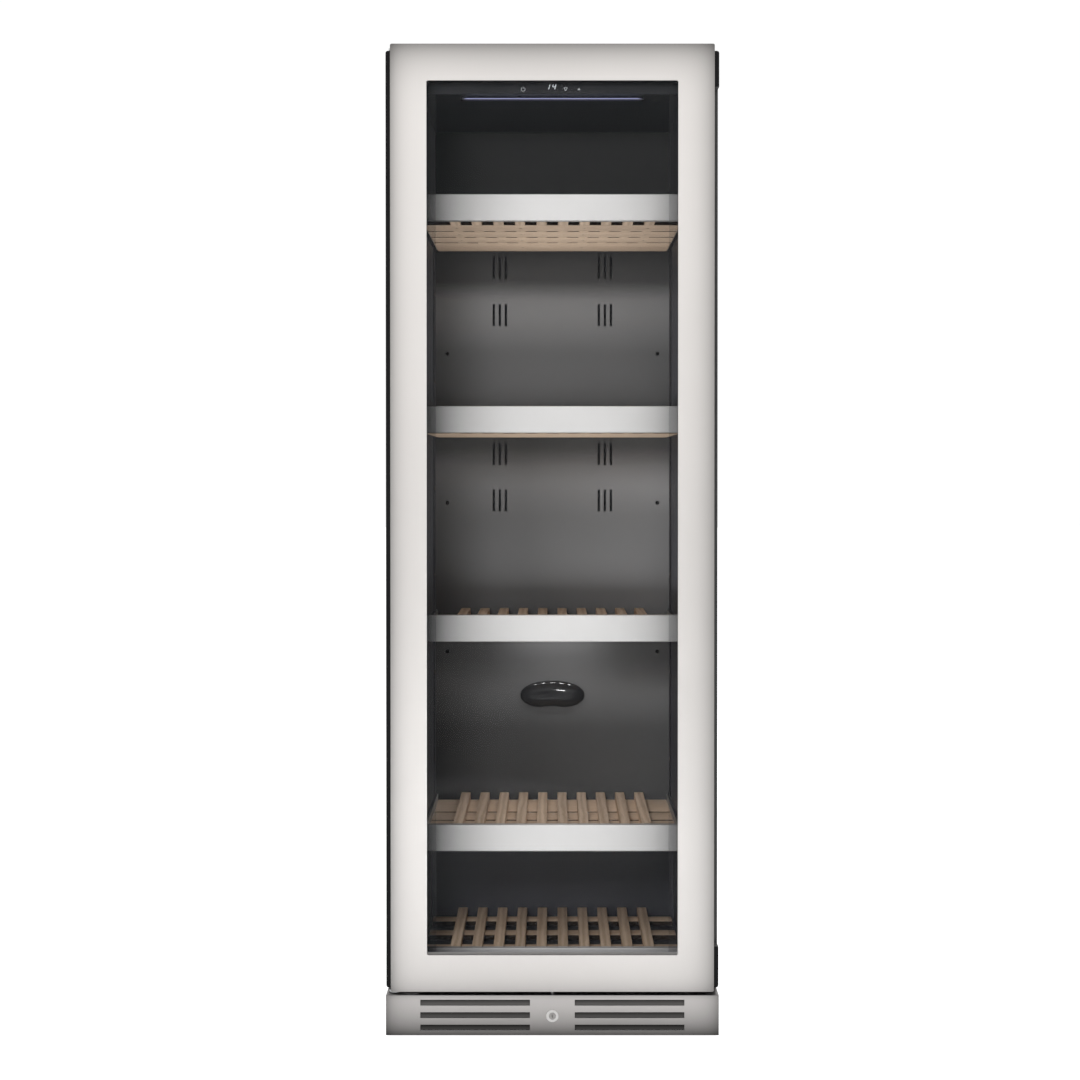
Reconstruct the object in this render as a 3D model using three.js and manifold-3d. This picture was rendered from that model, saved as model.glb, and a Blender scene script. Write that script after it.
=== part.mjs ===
// Full-height freestanding wine cooler: foamed cabinet, glazed stainless door hinged on the left,
// four pull-out wooden shelves on runners, one fixed bottom shelf, lockable kickplate and the
// cooling machinery behind and below. Millimetres, +Z up, the door faces -Y, and the origin is on
// the floor under the middle of the cabinet.
import * as THREE from 'three';
import { mergeVertices } from 'three/addons/utils/BufferGeometryUtils.js';
import Module from 'manifold-3d';

const wasm = await Module();
wasm.setup();

// ---------------------------------------------------------------- driving dimensions
const width = 595;
const depth = 680;
const height = 1775;
const gap = 0.3; // between pieces that touch on the real object

const halfWidth = width / 2;
const frontY = -depth / 2;
const rearY = depth / 2;

// door
const doorBottom = 85;
const doorThickness = 45;
const skinHalfWidth = 288.7;
const skinThickness = 1.4;
const skinReturn = 10; // depth of the folded outer edge
const cornerRadius = 3;
const windowHalfWidth = 224;
const windowBottom = 150.5;
const windowTop = 1709.8;
const glassThickness = 4;
const glassFront = frontY + 6;
const paneMargin = 11; // hidden width of the panes behind the window edge
const spacerDepth = 16;
const keeperClearance = 2; // round the lock bolt, in the hole in the door that takes it
const coreBottom = 90;
const coreTop = 1764.5;
const grooveBottom = 163;
const grooveTop = 1701;
const grooveReach = 20;
const grooveWidth = 26;
const sealOutside = [-282, 282, 91, 1758]; // x0, x1, z0, z1
const sealInside = [-258, 258, 110, 1733];
const sealBase = 4; // thickness of the flat strip that is pushed into the door

// hinge line
const hingeX = -282;
const hingeY = -318;
const pinRadius = 4;
const bushRadius = 6;
const bracketThickness = 4;
const bracketNose = 11;
const bracketWidth = 47;
const bushHeight = 15;

// cabinet
const cabinetFront = -283;
const frameThickness = 3;
const shellThickness = 1;
const shellTop = 1766;
const shellBottom = 20;
const foamBottom = 80;
const linerHalfWidth = 245; // inside
const linerWall = 2;
const linerFloor = 112;
const linerCeiling = 1724;
const linerBack = 292;
const stepFront = 105; // the liner steps up here over the machine compartment
const stepTop = 300;
const foamWall = 40;
const sheet = 1.5;

// inside back panel, which hides the air duct
const ductFront = 247;
const ductWall = 2;
const ventX = 110;
const ventLevels = [1441, 1342, 1051, 954];
const ventSlot = { width: 5, height: 46, pitch: 12.7, count: 3 };
const returnCover = { centreZ: 545, halfLength: 67, halfRise: 29.5, hollow: 5 };
const returnHole = { halfLength: 45, halfRise: 14, corner: 12 };
const evaporator = { halfLength: 190, front: 256, back: 287, bottom: 350, top: 500, finPitch: 16 };
const evaporatorFanPlace = [0, 279, 700];

// control fascia and light under the ceiling
const fasciaFront = cabinetFront + 5;
const fasciaDepth = 70;
const fasciaBottom = 1697.5;
const displayHalfWidth = 70;
const displayMargin = 4;
const lightHalfWidth = 163.5;
const lightHeight = 5;
const lightDepth = 12;
const lightSetback = 22;

// shelves: the level of each pull-out shelf is the top of its trim
const shelfLevels = [1522, 1134.5, 751.5, 366.5];
const trimHeight = 49;
const trimHalfWidth = 242;
const trimFront = -248;
const trimDepth = 14;
const rackHalfWidth = 238;
const rackBack = 225;
const plankThickness = 12;
const battenWidth = 19;
const battenRise = 15.5; // above the planks
const battenRecess = 0.4; // the battens are let into the planks and stop just short of their underside
const battenPitch = 40;
const battenCount = 10;
const rackPlanks = [[-184, -98], [-89, -8.5], [0.5, 79], [88, rackBack]]; // front and back edges
const runnerThickness = 1.6;
const runnerHeight = 22;
const railHeight = 26;
const railWeb = 1.5;
const uprightWidth = 22;
const uprightPlaces = [-225, 180];
const bottomTrimTop = 139.5;
const bottomPlanks = [[-190, -150], [-80, -40], [30, 70]];
const bottomRackBack = 96;

// kickplate and lock
const kickBottom = 7;
const kickTop = 78.5;
const kickSlot = { from: 40, to: 236, height: 10.5, levels: [65.4, 43.1, 20.8] };
const lockZ = 41.5;
const lockRadius = 11;
const lockLength = 30;
const barrelRadius = 6;
const boltRadius = 2.2;
const boltY = -320;
const boltTop = 84.5;

// levelling feet
const footRadius = 18;
const footPad = 8;
const footStem = 5;
const footTop = 60;
const footPlaces = {
  left_front: [-270, -255], right_front: [270, -255], left_rear: [-270, 300], right_rear: [270, 300],
};

// machinery in the compartment behind the step
const machineTop = stepTop - linerWall - foamWall;
const machineFront = stepFront + linerWall + foamWall;
const compressorPlace = { x: -185, y: 245, radius: 64 };
const condenser = { left: 20, right: 180, front: 165, back: 325, top: 230, finPitch: 12.5 };
const condenserFanPlace = [-40, 245, 120];
const drainTray = { left: -250, right: -120, front: 185, back: 305, bottom: 224.5, top: 246, wall: 2 };
const dischargeRoute = [
  [-118, 250, 100], [-104, 250, 100], [-98, 262, 108], [-98, 310, 180], [-98, 310, 232], [-84, 310, 244],
  [30, 310, 246], [46, 310, 240], [46, 310, 231],
];

// machine cover on the back, and the appliance inlet in it
const coverTop = machineTop + 12;
const coverSlots = { columns: [-190, -65, 60], width: 100, height: 8, first: 70, pitch: 25, rows: 8 };
const inlet = { left: 198, right: 242, bottom: 88, top: 122, depth: 30, wall: 6, pins: [210, 220, 230] };

// ---------------------------------------------------------------- materials
function metal(colour, roughness) {
  return new THREE.MeshStandardMaterial({ color: colour, roughness, metalness: 1 });
}

function plain(colour, roughness) {
  return new THREE.MeshStandardMaterial({ color: colour, roughness, metalness: 0 });
}

const stainless = metal(0xd9d5d2, 0.32);
const aluminium = metal(0xe4e2df, 0.35);
const zincSteel = metal(0xb5b8ba, 0.45);
const copper = metal(0xb87348, 0.35);
const blackEnamel = plain(0x0c0c0d, 0.45);
const blackPlastic = plain(0x101113, 0.55);
const glossBlack = plain(0x08080a, 0.12);
const greyPlastic = plain(0x55575b, 0.6);
const rubber = plain(0x161616, 0.8);
const beech = plain(0xc9a884, 0.6);
const foam = plain(0xe8d9a0, 0.9);
const diffuser = plain(0xdfe0f2, 0.4);
const glass = new THREE.MeshStandardMaterial({
  color: 0x9aa3a4, roughness: 0.05, metalness: 0, transparent: true, opacity: 0.3,
});

// ---------------------------------------------------------------- shape helpers
function toSolid(geometry) {
  geometry.deleteAttribute('normal');
  geometry.deleteAttribute('uv');
  const merged = mergeVertices(geometry, 1e-4);
  return new wasm.Manifold(new wasm.Mesh({
    numProp: 3,
    vertProperties: Float32Array.from(merged.attributes.position.array),
    triVerts: Uint32Array.from(merged.index.array),
  }));
}

function box(x0, x1, y0, y1, z0, z1) {
  const geometry = new THREE.BoxGeometry(x1 - x0, y1 - y0, z1 - z0);
  geometry.translate((x0 + x1) / 2, (y0 + y1) / 2, (z0 + z1) / 2);
  return toSolid(geometry);
}

// Local (a, b, extrusion) axes of an outline that is pushed along each world axis.
const outlineBases = {
  x: [new THREE.Vector3(0, 1, 0), new THREE.Vector3(0, 0, 1), new THREE.Vector3(1, 0, 0)],
  y: [new THREE.Vector3(1, 0, 0), new THREE.Vector3(0, 0, 1), new THREE.Vector3(0, -1, 0)],
  z: [new THREE.Vector3(1, 0, 0), new THREE.Vector3(0, 1, 0), new THREE.Vector3(0, 0, 1)],
};

// An outline in (y, z) pushed along x, in (x, z) along y, or in (x, y) along z.
function prism(axis, points, from, to) {
  const outline = new THREE.Shape(points.map(([a, b]) => new THREE.Vector2(a, b)));
  const geometry = new THREE.ExtrudeGeometry(outline, { depth: to - from, bevelEnabled: false });
  geometry.applyMatrix4(new THREE.Matrix4().makeBasis(...outlineBases[axis]));
  const start = axis === 'y' ? to : from;
  geometry.translate(axis === 'x' ? start : 0, axis === 'y' ? start : 0, axis === 'z' ? start : 0);
  return toSolid(geometry);
}

function arc(centreA, centreB, radius, startAngle, endAngle, steps) {
  const points = [];
  for (let i = 0; i <= steps; i += 1) {
    const angle = startAngle + ((endAngle - startAngle) * i) / steps;
    points.push([centreA + radius * Math.cos(angle), centreB + radius * Math.sin(angle)]);
  }
  return points;
}

function circle(centreA, centreB, radius, sides = 24) {
  return arc(centreA, centreB, radius, 0, 2 * Math.PI * (1 - 1 / sides), sides - 1);
}

function roundedRectangle(a0, a1, b0, b1, radius, steps = 3) {
  const quarter = Math.PI / 2;
  return [
    ...arc(a1 - radius, b1 - radius, radius, 0, quarter, steps),
    ...arc(a0 + radius, b1 - radius, radius, quarter, 2 * quarter, steps),
    ...arc(a0 + radius, b0 + radius, radius, 2 * quarter, 3 * quarter, steps),
    ...arc(a1 - radius, b0 + radius, radius, 3 * quarter, 4 * quarter, steps),
  ];
}

function rod(axis, centreA, centreB, radius, from, to, sides = 24) {
  return prism(axis, circle(centreA, centreB, radius, sides), from, to);
}

// A flat upright ring, such as a door frame: outer and inner are [x0, x1, z0, z1].
function uprightRing(outer, outerRadius, inner, innerRadius, y0, y1) {
  const body = prism('y', roundedRectangle(...outer, outerRadius), y0, y1);
  return body.subtract(prism('y', roundedRectangle(...inner, innerRadius), y0 - 1, y1 + 1));
}

// An outline [a0, a1, b0, b1] made smaller by d on every side.
function shrunk([a0, a1, b0, b1], d) {
  return [a0 + d, a1 - d, b0 + d, b1 - d];
}

function joined(solids) {
  return solids.reduce((whole, next) => whole.add(next));
}

function lathe(profile, sides) {
  const points = profile.map(([radius, along]) => new THREE.Vector2(radius, along));
  const geometry = new THREE.LatheGeometry(points, sides);
  geometry.rotateX(Math.PI / 2);
  return toSolid(geometry);
}

function tube(points, radius, sides = 8, steps = 28) {
  const places = points.map((p) => new THREE.Vector3(...p));
  const path = new THREE.CatmullRomCurve3(places, false, 'catmullrom', 0.2);
  const section = new THREE.Shape(circle(0, 0, radius, sides).map(([a, b]) => new THREE.Vector2(a, b)));
  return toSolid(new THREE.ExtrudeGeometry(section, { steps, extrudePath: path, bevelEnabled: false }));
}

const cooler = new THREE.Group();

function place(name, solid, material, parent = cooler) {
  const { vertProperties, triVerts } = solid.getMesh();
  const geometry = new THREE.BufferGeometry();
  geometry.setAttribute('position', new THREE.BufferAttribute(Float32Array.from(vertProperties), 3));
  geometry.setIndex(new THREE.BufferAttribute(Uint32Array.from(triVerts), 1));
  geometry.computeVertexNormals();
  const mesh = new THREE.Mesh(geometry, material);
  mesh.name = name;
  parent.add(mesh);
}

// ---------------------------------------------------------------- cabinet
function buildShell() {
  const front = cabinetFront + frameThickness + gap;
  const back = rearY - sheet - gap;
  const innerSide = halfWidth - shellThickness;
  const outside = box(-halfWidth, halfWidth, front, back, shellBottom, shellTop);
  const inside = box(-innerSide, innerSide, front - 1, back + 1, shellBottom - 1, shellTop - shellThickness);
  place('outer_shell', outside.subtract(inside), blackEnamel);
}

function buildLiner() {
  const front = cabinetFront + frameThickness + gap;
  const side = linerHalfWidth;
  const wall = linerWall;
  const outer = side + wall;
  const outside = box(-outer, outer, front, stepFront + wall, linerFloor - wall, linerCeiling + wall)
    .add(box(-outer, outer, front, linerBack + wall, stepTop - wall, linerCeiling + wall));
  const inside = box(-side, side, front - 1, stepFront, linerFloor, linerCeiling)
    .add(box(-side, side, front - 1, linerBack, stepTop, linerCeiling));
  place('inner_liner', outside.subtract(inside), blackPlastic);
}

function buildFoam() {
  const front = cabinetFront + frameThickness + gap;
  const side = halfWidth - shellThickness - gap;
  const hollow = linerHalfWidth + linerWall + gap;
  const floor = linerFloor - linerWall - gap;
  const ceiling = linerCeiling + linerWall + gap;
  const block = box(-side, side, front, rearY - sheet - gap, foamBottom, shellTop - shellThickness - gap);
  const linerSpace = box(-hollow, hollow, front - 1, stepFront + linerWall + gap, floor, ceiling)
    .add(box(-hollow, hollow, front - 1, linerBack + linerWall + gap, stepTop - linerWall - gap, ceiling));
  const machineSpace = box(-side - 1, side + 1, machineFront, rearY, foamBottom - 1, machineTop);
  place('insulation_foam', block.subtract(linerSpace).subtract(machineSpace), foam);
}

function buildFrontFrame() {
  const ring = uprightRing(
    [-halfWidth, halfWidth, kickTop, shellTop], 3,
    [-linerHalfWidth, linerHalfWidth, linerFloor, linerCeiling], 6,
    cabinetFront, cabinetFront + frameThickness,
  );
  place('front_frame', ring, blackPlastic);
}

function buildBase() {
  const side = halfWidth - shellThickness - gap;
  const front = cabinetFront + frameThickness + gap;
  const back = rearY - sheet - gap;
  const floor = shellBottom + sheet;
  const flangeHeight = 18;
  const bossRadius = 10;
  const bossHeight = 8;
  const tray = box(-side, side, front, back, shellBottom, floor + flangeHeight).subtract(
    box(-side + sheet, side - sheet, front + sheet, back - sheet, floor, floor + flangeHeight + 1),
  );
  const places = Object.values(footPlaces);
  const bossTop = floor + bossHeight;
  const bosses = places.map(([x, y]) => rod('z', x, y, bossRadius, floor - 0.2, bossTop, 12));
  const holes = places.map(([x, y]) => rod('z', x, y, footStem + 0.6, shellBottom - 1, bossTop + 1, 12));
  place('base_pan', joined([tray, ...bosses]).subtract(joined(holes)), zincSteel);
}

function buildRear() {
  const front = rearY - sheet;
  const panel = box(-halfWidth, halfWidth, front, rearY, coverTop + gap, shellTop);
  place('rear_panel', panel, zincSteel);

  const holes = [box(inlet.left, inlet.right, front - 1, rearY + 1, inlet.bottom, inlet.top)];
  for (const x of coverSlots.columns) {
    for (let row = 0; row < coverSlots.rows; row += 1) {
      const z = coverSlots.first + row * coverSlots.pitch;
      const halfSlot = coverSlots.width / 2;
      const halfRise = coverSlots.height / 2;
      holes.push(box(x - halfSlot, x + halfSlot, front - 1, rearY + 1, z - halfRise, z + halfRise));
    }
  }
  const cover = box(-halfWidth, halfWidth, front, rearY, shellBottom, coverTop);
  place('machine_cover', cover.subtract(joined(holes)), blackPlastic);
}

// Three flat pins stand in a rounded recess.
function buildInlet() {
  const outline = shrunk([inlet.left, inlet.right, inlet.bottom, inlet.top], gap);
  const recessOutline = shrunk([inlet.left, inlet.right, inlet.bottom, inlet.top], inlet.wall);
  const middle = (inlet.bottom + inlet.top) / 2 - 2;
  const recessFloor = rearY - inlet.depth + 8;
  const body = box(outline[0], outline[1], rearY - inlet.depth, rearY, outline[2], outline[3]);
  const recess = prism('y', roundedRectangle(...recessOutline, 5), recessFloor, rearY + 1);
  const pins = inlet.pins
    .map((x) => box(x - 1.2, x + 1.2, recessFloor - 1, rearY - inlet.wall, middle - 3, middle + 3));
  place('mains_inlet', joined([body.subtract(recess), ...pins]), blackPlastic);
}

// ---------------------------------------------------------------- back panel, evaporator and fan
function ventSlots() {
  const slots = [];
  const half = ventSlot.width / 2;
  for (const z of ventLevels) {
    const low = z - ventSlot.height / 2;
    for (const x of [-ventX, ventX]) {
      for (let i = 0; i < ventSlot.count; i += 1) {
        const centre = x + (i - (ventSlot.count - 1) / 2) * ventSlot.pitch;
        slots.push(box(
          centre - half, centre + half, ductFront - 1, ductFront + ductWall + 1, low, low + ventSlot.height,
        ));
      }
    }
  }
  return slots;
}

function buildDuctPanel() {
  const side = linerHalfWidth - gap;
  const bottom = stepTop + gap;
  const top = linerCeiling - gap;
  const back = linerBack - 1;
  const inside = shrunk([-side, side, bottom, top], ductWall);
  const tray = box(-side, side, ductFront, back, bottom, top)
    .subtract(box(inside[0], inside[1], ductFront + ductWall, back + 1, inside[2], inside[3]));
  const { halfLength, halfRise, corner } = returnHole;
  const { centreZ } = returnCover;
  const holeOutline = roundedRectangle(
    -halfLength, halfLength, centreZ - halfRise, centreZ + halfRise, corner,
  );
  const hole = prism('y', holeOutline, ductFront - 1, ductFront + ductWall + 1);
  place('back_duct_panel', tray.subtract(joined([...ventSlots(), hole])), greyPlastic);
}

// Bean outline: an arched top and a shallow hollow along the middle of the bottom edge.
function beanOutline(inset) {
  const { centreZ, halfLength, halfRise, hollow } = returnCover;
  const squareness = 0.93;
  const steps = 32;
  const points = [];
  for (let i = 0; i < steps; i += 1) {
    const angle = (2 * Math.PI * i) / steps;
    const a = Math.cos(angle);
    const b = Math.sin(angle);
    const x = Math.sign(a) * Math.abs(a) ** squareness * (halfLength - inset);
    const lift = b < 0 ? hollow * Math.exp(-((x / (halfLength * 0.33)) ** 2)) : 0;
    points.push([x, Math.sign(b) * Math.abs(b) ** squareness * (halfRise - inset) + lift + centreZ]);
  }
  return points;
}

function buildDuctCover() {
  const back = ductFront - gap;
  const layers = [
    prism('y', beanOutline(0), back - 6, back),
    prism('y', beanOutline(4), back - 10, back - 5.9),
    prism('y', beanOutline(12), back - 12.5, back - 9.9),
  ];
  place('duct_cover', joined(layers), glossBlack);
}

function buildEvaporator() {
  const { halfLength, front, back, bottom, top, finPitch } = evaporator;
  const margin = 10;
  const airGap = finPitch * 0.7;
  const block = box(-halfLength, halfLength, front, back, bottom, top);
  const air = [];
  for (let x = -halfLength + margin; x < halfLength - margin - airGap; x += finPitch) {
    air.push(box(x, x + airGap, front - 1, back + 1, bottom + margin - 2, top - margin + 2));
  }
  place('evaporator_coil', block.subtract(joined(air)), aluminium);
}

// A fan on its own z axis, with blades pitched between a hub and the tip circle.
function fanRotor(hubRadius, tipRadius, thickness, blades) {
  const hub = rod('z', 0, 0, hubRadius, 0, thickness, 16);
  const parts = [hub];
  for (let i = 0; i < blades; i += 1) {
    const blade = new THREE.BoxGeometry(tipRadius - hubRadius + 4, tipRadius * 0.5, 1.6);
    blade.rotateX(0.38);
    blade.translate((tipRadius + hubRadius - 4) / 2, 0, thickness / 2);
    blade.rotateZ((2 * Math.PI * i) / blades);
    parts.push(toSolid(blade));
  }
  return joined(parts).intersect(rod('z', 0, 0, tipRadius, 0, thickness, 24));
}

// A square plate with a round throat, and a bar across it that carries the fan motor.
function fanShroud(halfSide, throatRadius, ringDepth, motorRadius, motorTop) {
  const plate = box(-halfSide, halfSide, -halfSide, halfSide, 0, 2);
  const ring = rod('z', 0, 0, throatRadius + 2, 0, ringDepth, 32);
  const throat = rod('z', 0, 0, throatRadius, -1, ringDepth + 1, 32);
  const bar = box(-throatRadius - 1, throatRadius + 1, -5, 5, -4, 0.2);
  const motor = rod('z', 0, 0, motorRadius, -8, motorTop, 16);
  return joined([plate, ring]).subtract(throat).add(bar).add(motor);
}

function placeFan(prefix, rotor, shroud, position, rotation) {
  const group = new THREE.Group();
  group.position.set(...position);
  group.rotation.set(...rotation);
  cooler.add(group);
  place(`${prefix}_fan_shroud`, shroud, blackPlastic, group);
  const spinner = new THREE.Group();
  spinner.position.set(0, 0, 3);
  group.add(spinner);
  place(`${prefix}_fan`, rotor, greyPlastic, spinner);
}

function buildFans() {
  placeFan(
    'evaporator', fanRotor(20, 68, 16, 6), fanShroud(86, 72, 22, 18, 2),
    evaporatorFanPlace, [Math.PI / 2, 0, 0],
  );
  placeFan(
    'condenser', fanRotor(20, 72, 20, 6), fanShroud(86, 76, 26, 18, 2),
    condenserFanPlace, [0, -Math.PI / 2, 0],
  );
}

// ---------------------------------------------------------------- controls and light
function buildControls() {
  const top = linerCeiling - gap;
  const side = linerHalfWidth - 1;
  const wall = 2;
  const face = 3;
  const displayLow = fasciaBottom + displayMargin;
  const displayHigh = top - displayMargin;
  const body = box(-side, side, fasciaFront, fasciaFront + fasciaDepth, fasciaBottom, top);
  const pocketBack = fasciaFront + fasciaDepth - wall;
  const pocket = box(
    -side + wall, side - wall, fasciaFront + face, pocketBack, fasciaBottom + wall, top + 1,
  );
  const displayHole = box(
    -displayHalfWidth, displayHalfWidth, fasciaFront - 1, fasciaFront + face + 1, displayLow, displayHigh,
  );
  place('control_housing', body.subtract(pocket).subtract(displayHole), glossBlack);

  const lens = shrunk([-displayHalfWidth, displayHalfWidth, displayLow, displayHigh], gap);
  const display = box(lens[0], lens[1], fasciaFront, fasciaFront + face - 0.6, lens[2], lens[3]);
  place('display_panel', display, glossBlack);

  const lightFront = fasciaFront + lightSetback;
  const lightTop = fasciaBottom - gap;
  const light = box(
    -lightHalfWidth, lightHalfWidth, lightFront, lightFront + lightDepth, lightTop - lightHeight, lightTop,
  );
  place('light_diffuser', light, diffuser);
}

// ---------------------------------------------------------------- shelves
function trimSection(front, top, bottom, deep) {
  const lip = 2.5;
  const curve = 2;
  return [
    ...arc(front + curve, bottom + curve, curve, Math.PI, 1.5 * Math.PI, 3),
    [front + deep, bottom], [front + deep, bottom + lip], [front + lip, bottom + lip],
    [front + lip, top - lip], [front + deep, top - lip], [front + deep, top],
    ...arc(front + curve, top - curve, curve, 0.5 * Math.PI, Math.PI, 3),
  ];
}

function battens(z0, z1, y0, y1) {
  const bars = [];
  for (let i = 0; i < battenCount; i += 1) {
    const x = (i - (battenCount - 1) / 2) * battenPitch;
    bars.push(box(x - battenWidth / 2, x + battenWidth / 2, y0, y1, z0, z1));
  }
  return bars;
}

// The rack hangs level with the lower edge of the trim: broad cross planks, with battens let into them.
function rackSolid() {
  const planks = rackPlanks.map(([y0, y1]) => box(-rackHalfWidth, rackHalfWidth, y0, y1, 0, plankThickness));
  const bars = battens(battenRecess, plankThickness + battenRise, trimFront + trimDepth + gap, rackBack);
  return joined([...planks, ...bars]);
}

function buildShelf(number, level) {
  const shelf = new THREE.Group();
  shelf.position.set(0, 0, level - trimHeight);
  cooler.add(shelf);
  const trim = prism('x', trimSection(trimFront, trimHeight, 0, trimDepth), -trimHalfWidth, trimHalfWidth);
  place(`shelf_${number}_trim`, trim, aluminium, shelf);
  place(`shelf_${number}_rack`, rackSolid(), beech, shelf);
  const runnerFront = trimFront + trimDepth + gap;
  const runnerBottom = 2;
  for (const [side, sign] of [['left', -1], ['right', 1]]) {
    const inner = sign * (rackHalfWidth + gap);
    const outer = inner + sign * runnerThickness;
    const [x0, x1] = [Math.min(inner, outer), Math.max(inner, outer)];
    const runner = box(x0, x1, runnerFront, rackBack - 5, runnerBottom, runnerBottom + runnerHeight);
    place(`shelf_${number}_${side}_runner`, runner, zincSteel, shelf);
  }
}

// Two uprights and one channel for each pull-out shelf, fixed to the side of the liner.
function buildRails(side, sign) {
  const outer = linerHalfWidth - gap;
  const web = outer - railWeb;
  const lip = rackHalfWidth + gap + runnerThickness + 0.8;
  const across = (a, b) => [Math.min(sign * a, sign * b), Math.max(sign * a, sign * b)];
  const lowest = shelfLevels[shelfLevels.length - 1] - trimHeight - 11;
  const parts = uprightPlaces
    .map((y) => box(...across(web, outer), y, y + uprightWidth, lowest, shelfLevels[0] + 10));
  const railFront = trimFront + trimDepth + 4;
  for (const level of shelfLevels) {
    const base = level - trimHeight;
    const top = base + railHeight;
    parts.push(box(...across(web, outer), railFront, rackBack, base, top));
    parts.push(box(...across(lip, outer), railFront, rackBack, base, base + railWeb));
    parts.push(box(...across(lip, outer), railFront, rackBack, top - railWeb, top));
  }
  place(`${side}_shelf_rails`, joined(parts), blackEnamel);
}

function buildBottomShelf() {
  const base = linerFloor + gap;
  const crossTop = base + 10;
  const section = trimSection(trimFront, bottomTrimTop, base, trimDepth);
  const trim = prism('x', section, -trimHalfWidth, trimHalfWidth);
  place('bottom_shelf_trim', trim, aluminium);
  const bars = battens(crossTop - 0.5, crossTop + 12, trimFront + trimDepth + gap, bottomRackBack);
  const planks = bottomPlanks.map(([y0, y1]) => box(-rackHalfWidth, rackHalfWidth, y0, y1, base, crossTop));
  place('bottom_shelf_rack', joined([...bars, ...planks]), beech);
}

// ---------------------------------------------------------------- door
const windowOutline = [-windowHalfWidth, windowHalfWidth, windowBottom, windowTop];
const skinOutline = [-skinHalfWidth, skinHalfWidth, doorBottom, height];

function buildDoorSkin() {
  const t = skinThickness;
  const r = cornerRadius;
  const face = uprightRing(skinOutline, r, windowOutline, r, frontY, frontY + t);
  const outerEdge = uprightRing(skinOutline, r, shrunk(skinOutline, t), r - 1, frontY, frontY + skinReturn);
  const windowEdge = uprightRing(
    shrunk(windowOutline, -t), r + 1, windowOutline, r, frontY, glassFront - gap,
  );
  place('door_skin', joined([face, outerEdge, windowEdge]), stainless);
}

// The groove is open to the side of the door, and its floor slopes at the back for the fingers.
function fingerGroove(front) {
  const open = halfWidth + 1;
  const inner = halfWidth - grooveReach;
  const back = front + 1.5 + grooveWidth;
  const slope = 6;
  return prism('z', [
    [inner, front], [open, front], [open, back], [halfWidth - slope, back], [inner, back - slope],
  ], grooveBottom, grooveTop);
}

function buildDoorCore() {
  const splitY = frontY + skinReturn;
  const rear = uprightRing(
    [-halfWidth, halfWidth, coreBottom, coreTop], 4, shrunk(windowOutline, 2 - paneMargin), 2,
    splitY + gap, frontY + doorThickness,
  );
  const front = uprightRing(
    shrunk(skinOutline, skinThickness + gap), 2, shrunk(windowOutline, -paneMargin - 5), 2,
    frontY + skinThickness + gap, splitY + 0.8,
  );
  const pocketDepth = bushHeight + 1;
  const topBush = rod('z', hingeX, hingeY, bushRadius + gap, coreTop - pocketDepth, coreTop + 1);
  const bottomBush = rod('z', hingeX, hingeY, bushRadius + gap, coreBottom - 1, coreBottom + pocketDepth);
  const keeper = rod('z', 0, boltY, boltRadius + keeperClearance, coreBottom - 1, coreBottom + pocketDepth);
  const hollows = joined([fingerGroove(splitY + gap - 1.5), topBush, bottomBush, keeper]);
  place('door_core', rear.add(front).subtract(hollows), blackPlastic);
}

function buildGlazing() {
  const reveal = 1; // the spacer stays out of sight behind the skin
  const spacerFront = glassFront + glassThickness + gap;
  const innerFront = spacerFront + spacerDepth + gap;
  const outerPane = prism(
    'y', roundedRectangle(...shrunk(windowOutline, -paneMargin), 2), glassFront, glassFront + glassThickness,
  );
  place('outer_glass', outerPane, glass);
  const unitOutline = shrunk(windowOutline, gap + 2 - paneMargin);
  const spacer = uprightRing(
    unitOutline, 2, shrunk(windowOutline, -reveal), 2, spacerFront, spacerFront + spacerDepth,
  );
  place('glass_spacer', spacer, blackPlastic);
  const innerPane = prism('y', roundedRectangle(...unitOutline, 2), innerFront, innerFront + glassThickness);
  place('inner_glass', innerPane, glass);
}

function buildGasket() {
  const back = frontY + doorThickness + gap;
  const base = uprightRing(sealOutside, 4, sealInside, 4, back, back + sealBase);
  const bulb = uprightRing(
    shrunk(sealOutside, 2), 4, shrunk(sealInside, -4), 4, back + sealBase - 0.5, cabinetFront - 0.5,
  );
  place('door_gasket', base.add(bulb), rubber);
}

function hingePin(from, to) {
  return rod('z', hingeX, hingeY, pinRadius, from, to);
}

function buildBushes() {
  const ring = (z0, z1) => rod('z', hingeX, hingeY, bushRadius, z0, z1)
    .subtract(rod('z', hingeX, hingeY, pinRadius + gap, z0 - 1, z1 + 1));
  place('top_hinge_bush', ring(coreTop - bushHeight, coreTop), greyPlastic);
  place('bottom_hinge_bush', ring(coreBottom, coreBottom + bushHeight), greyPlastic);
}

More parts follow.
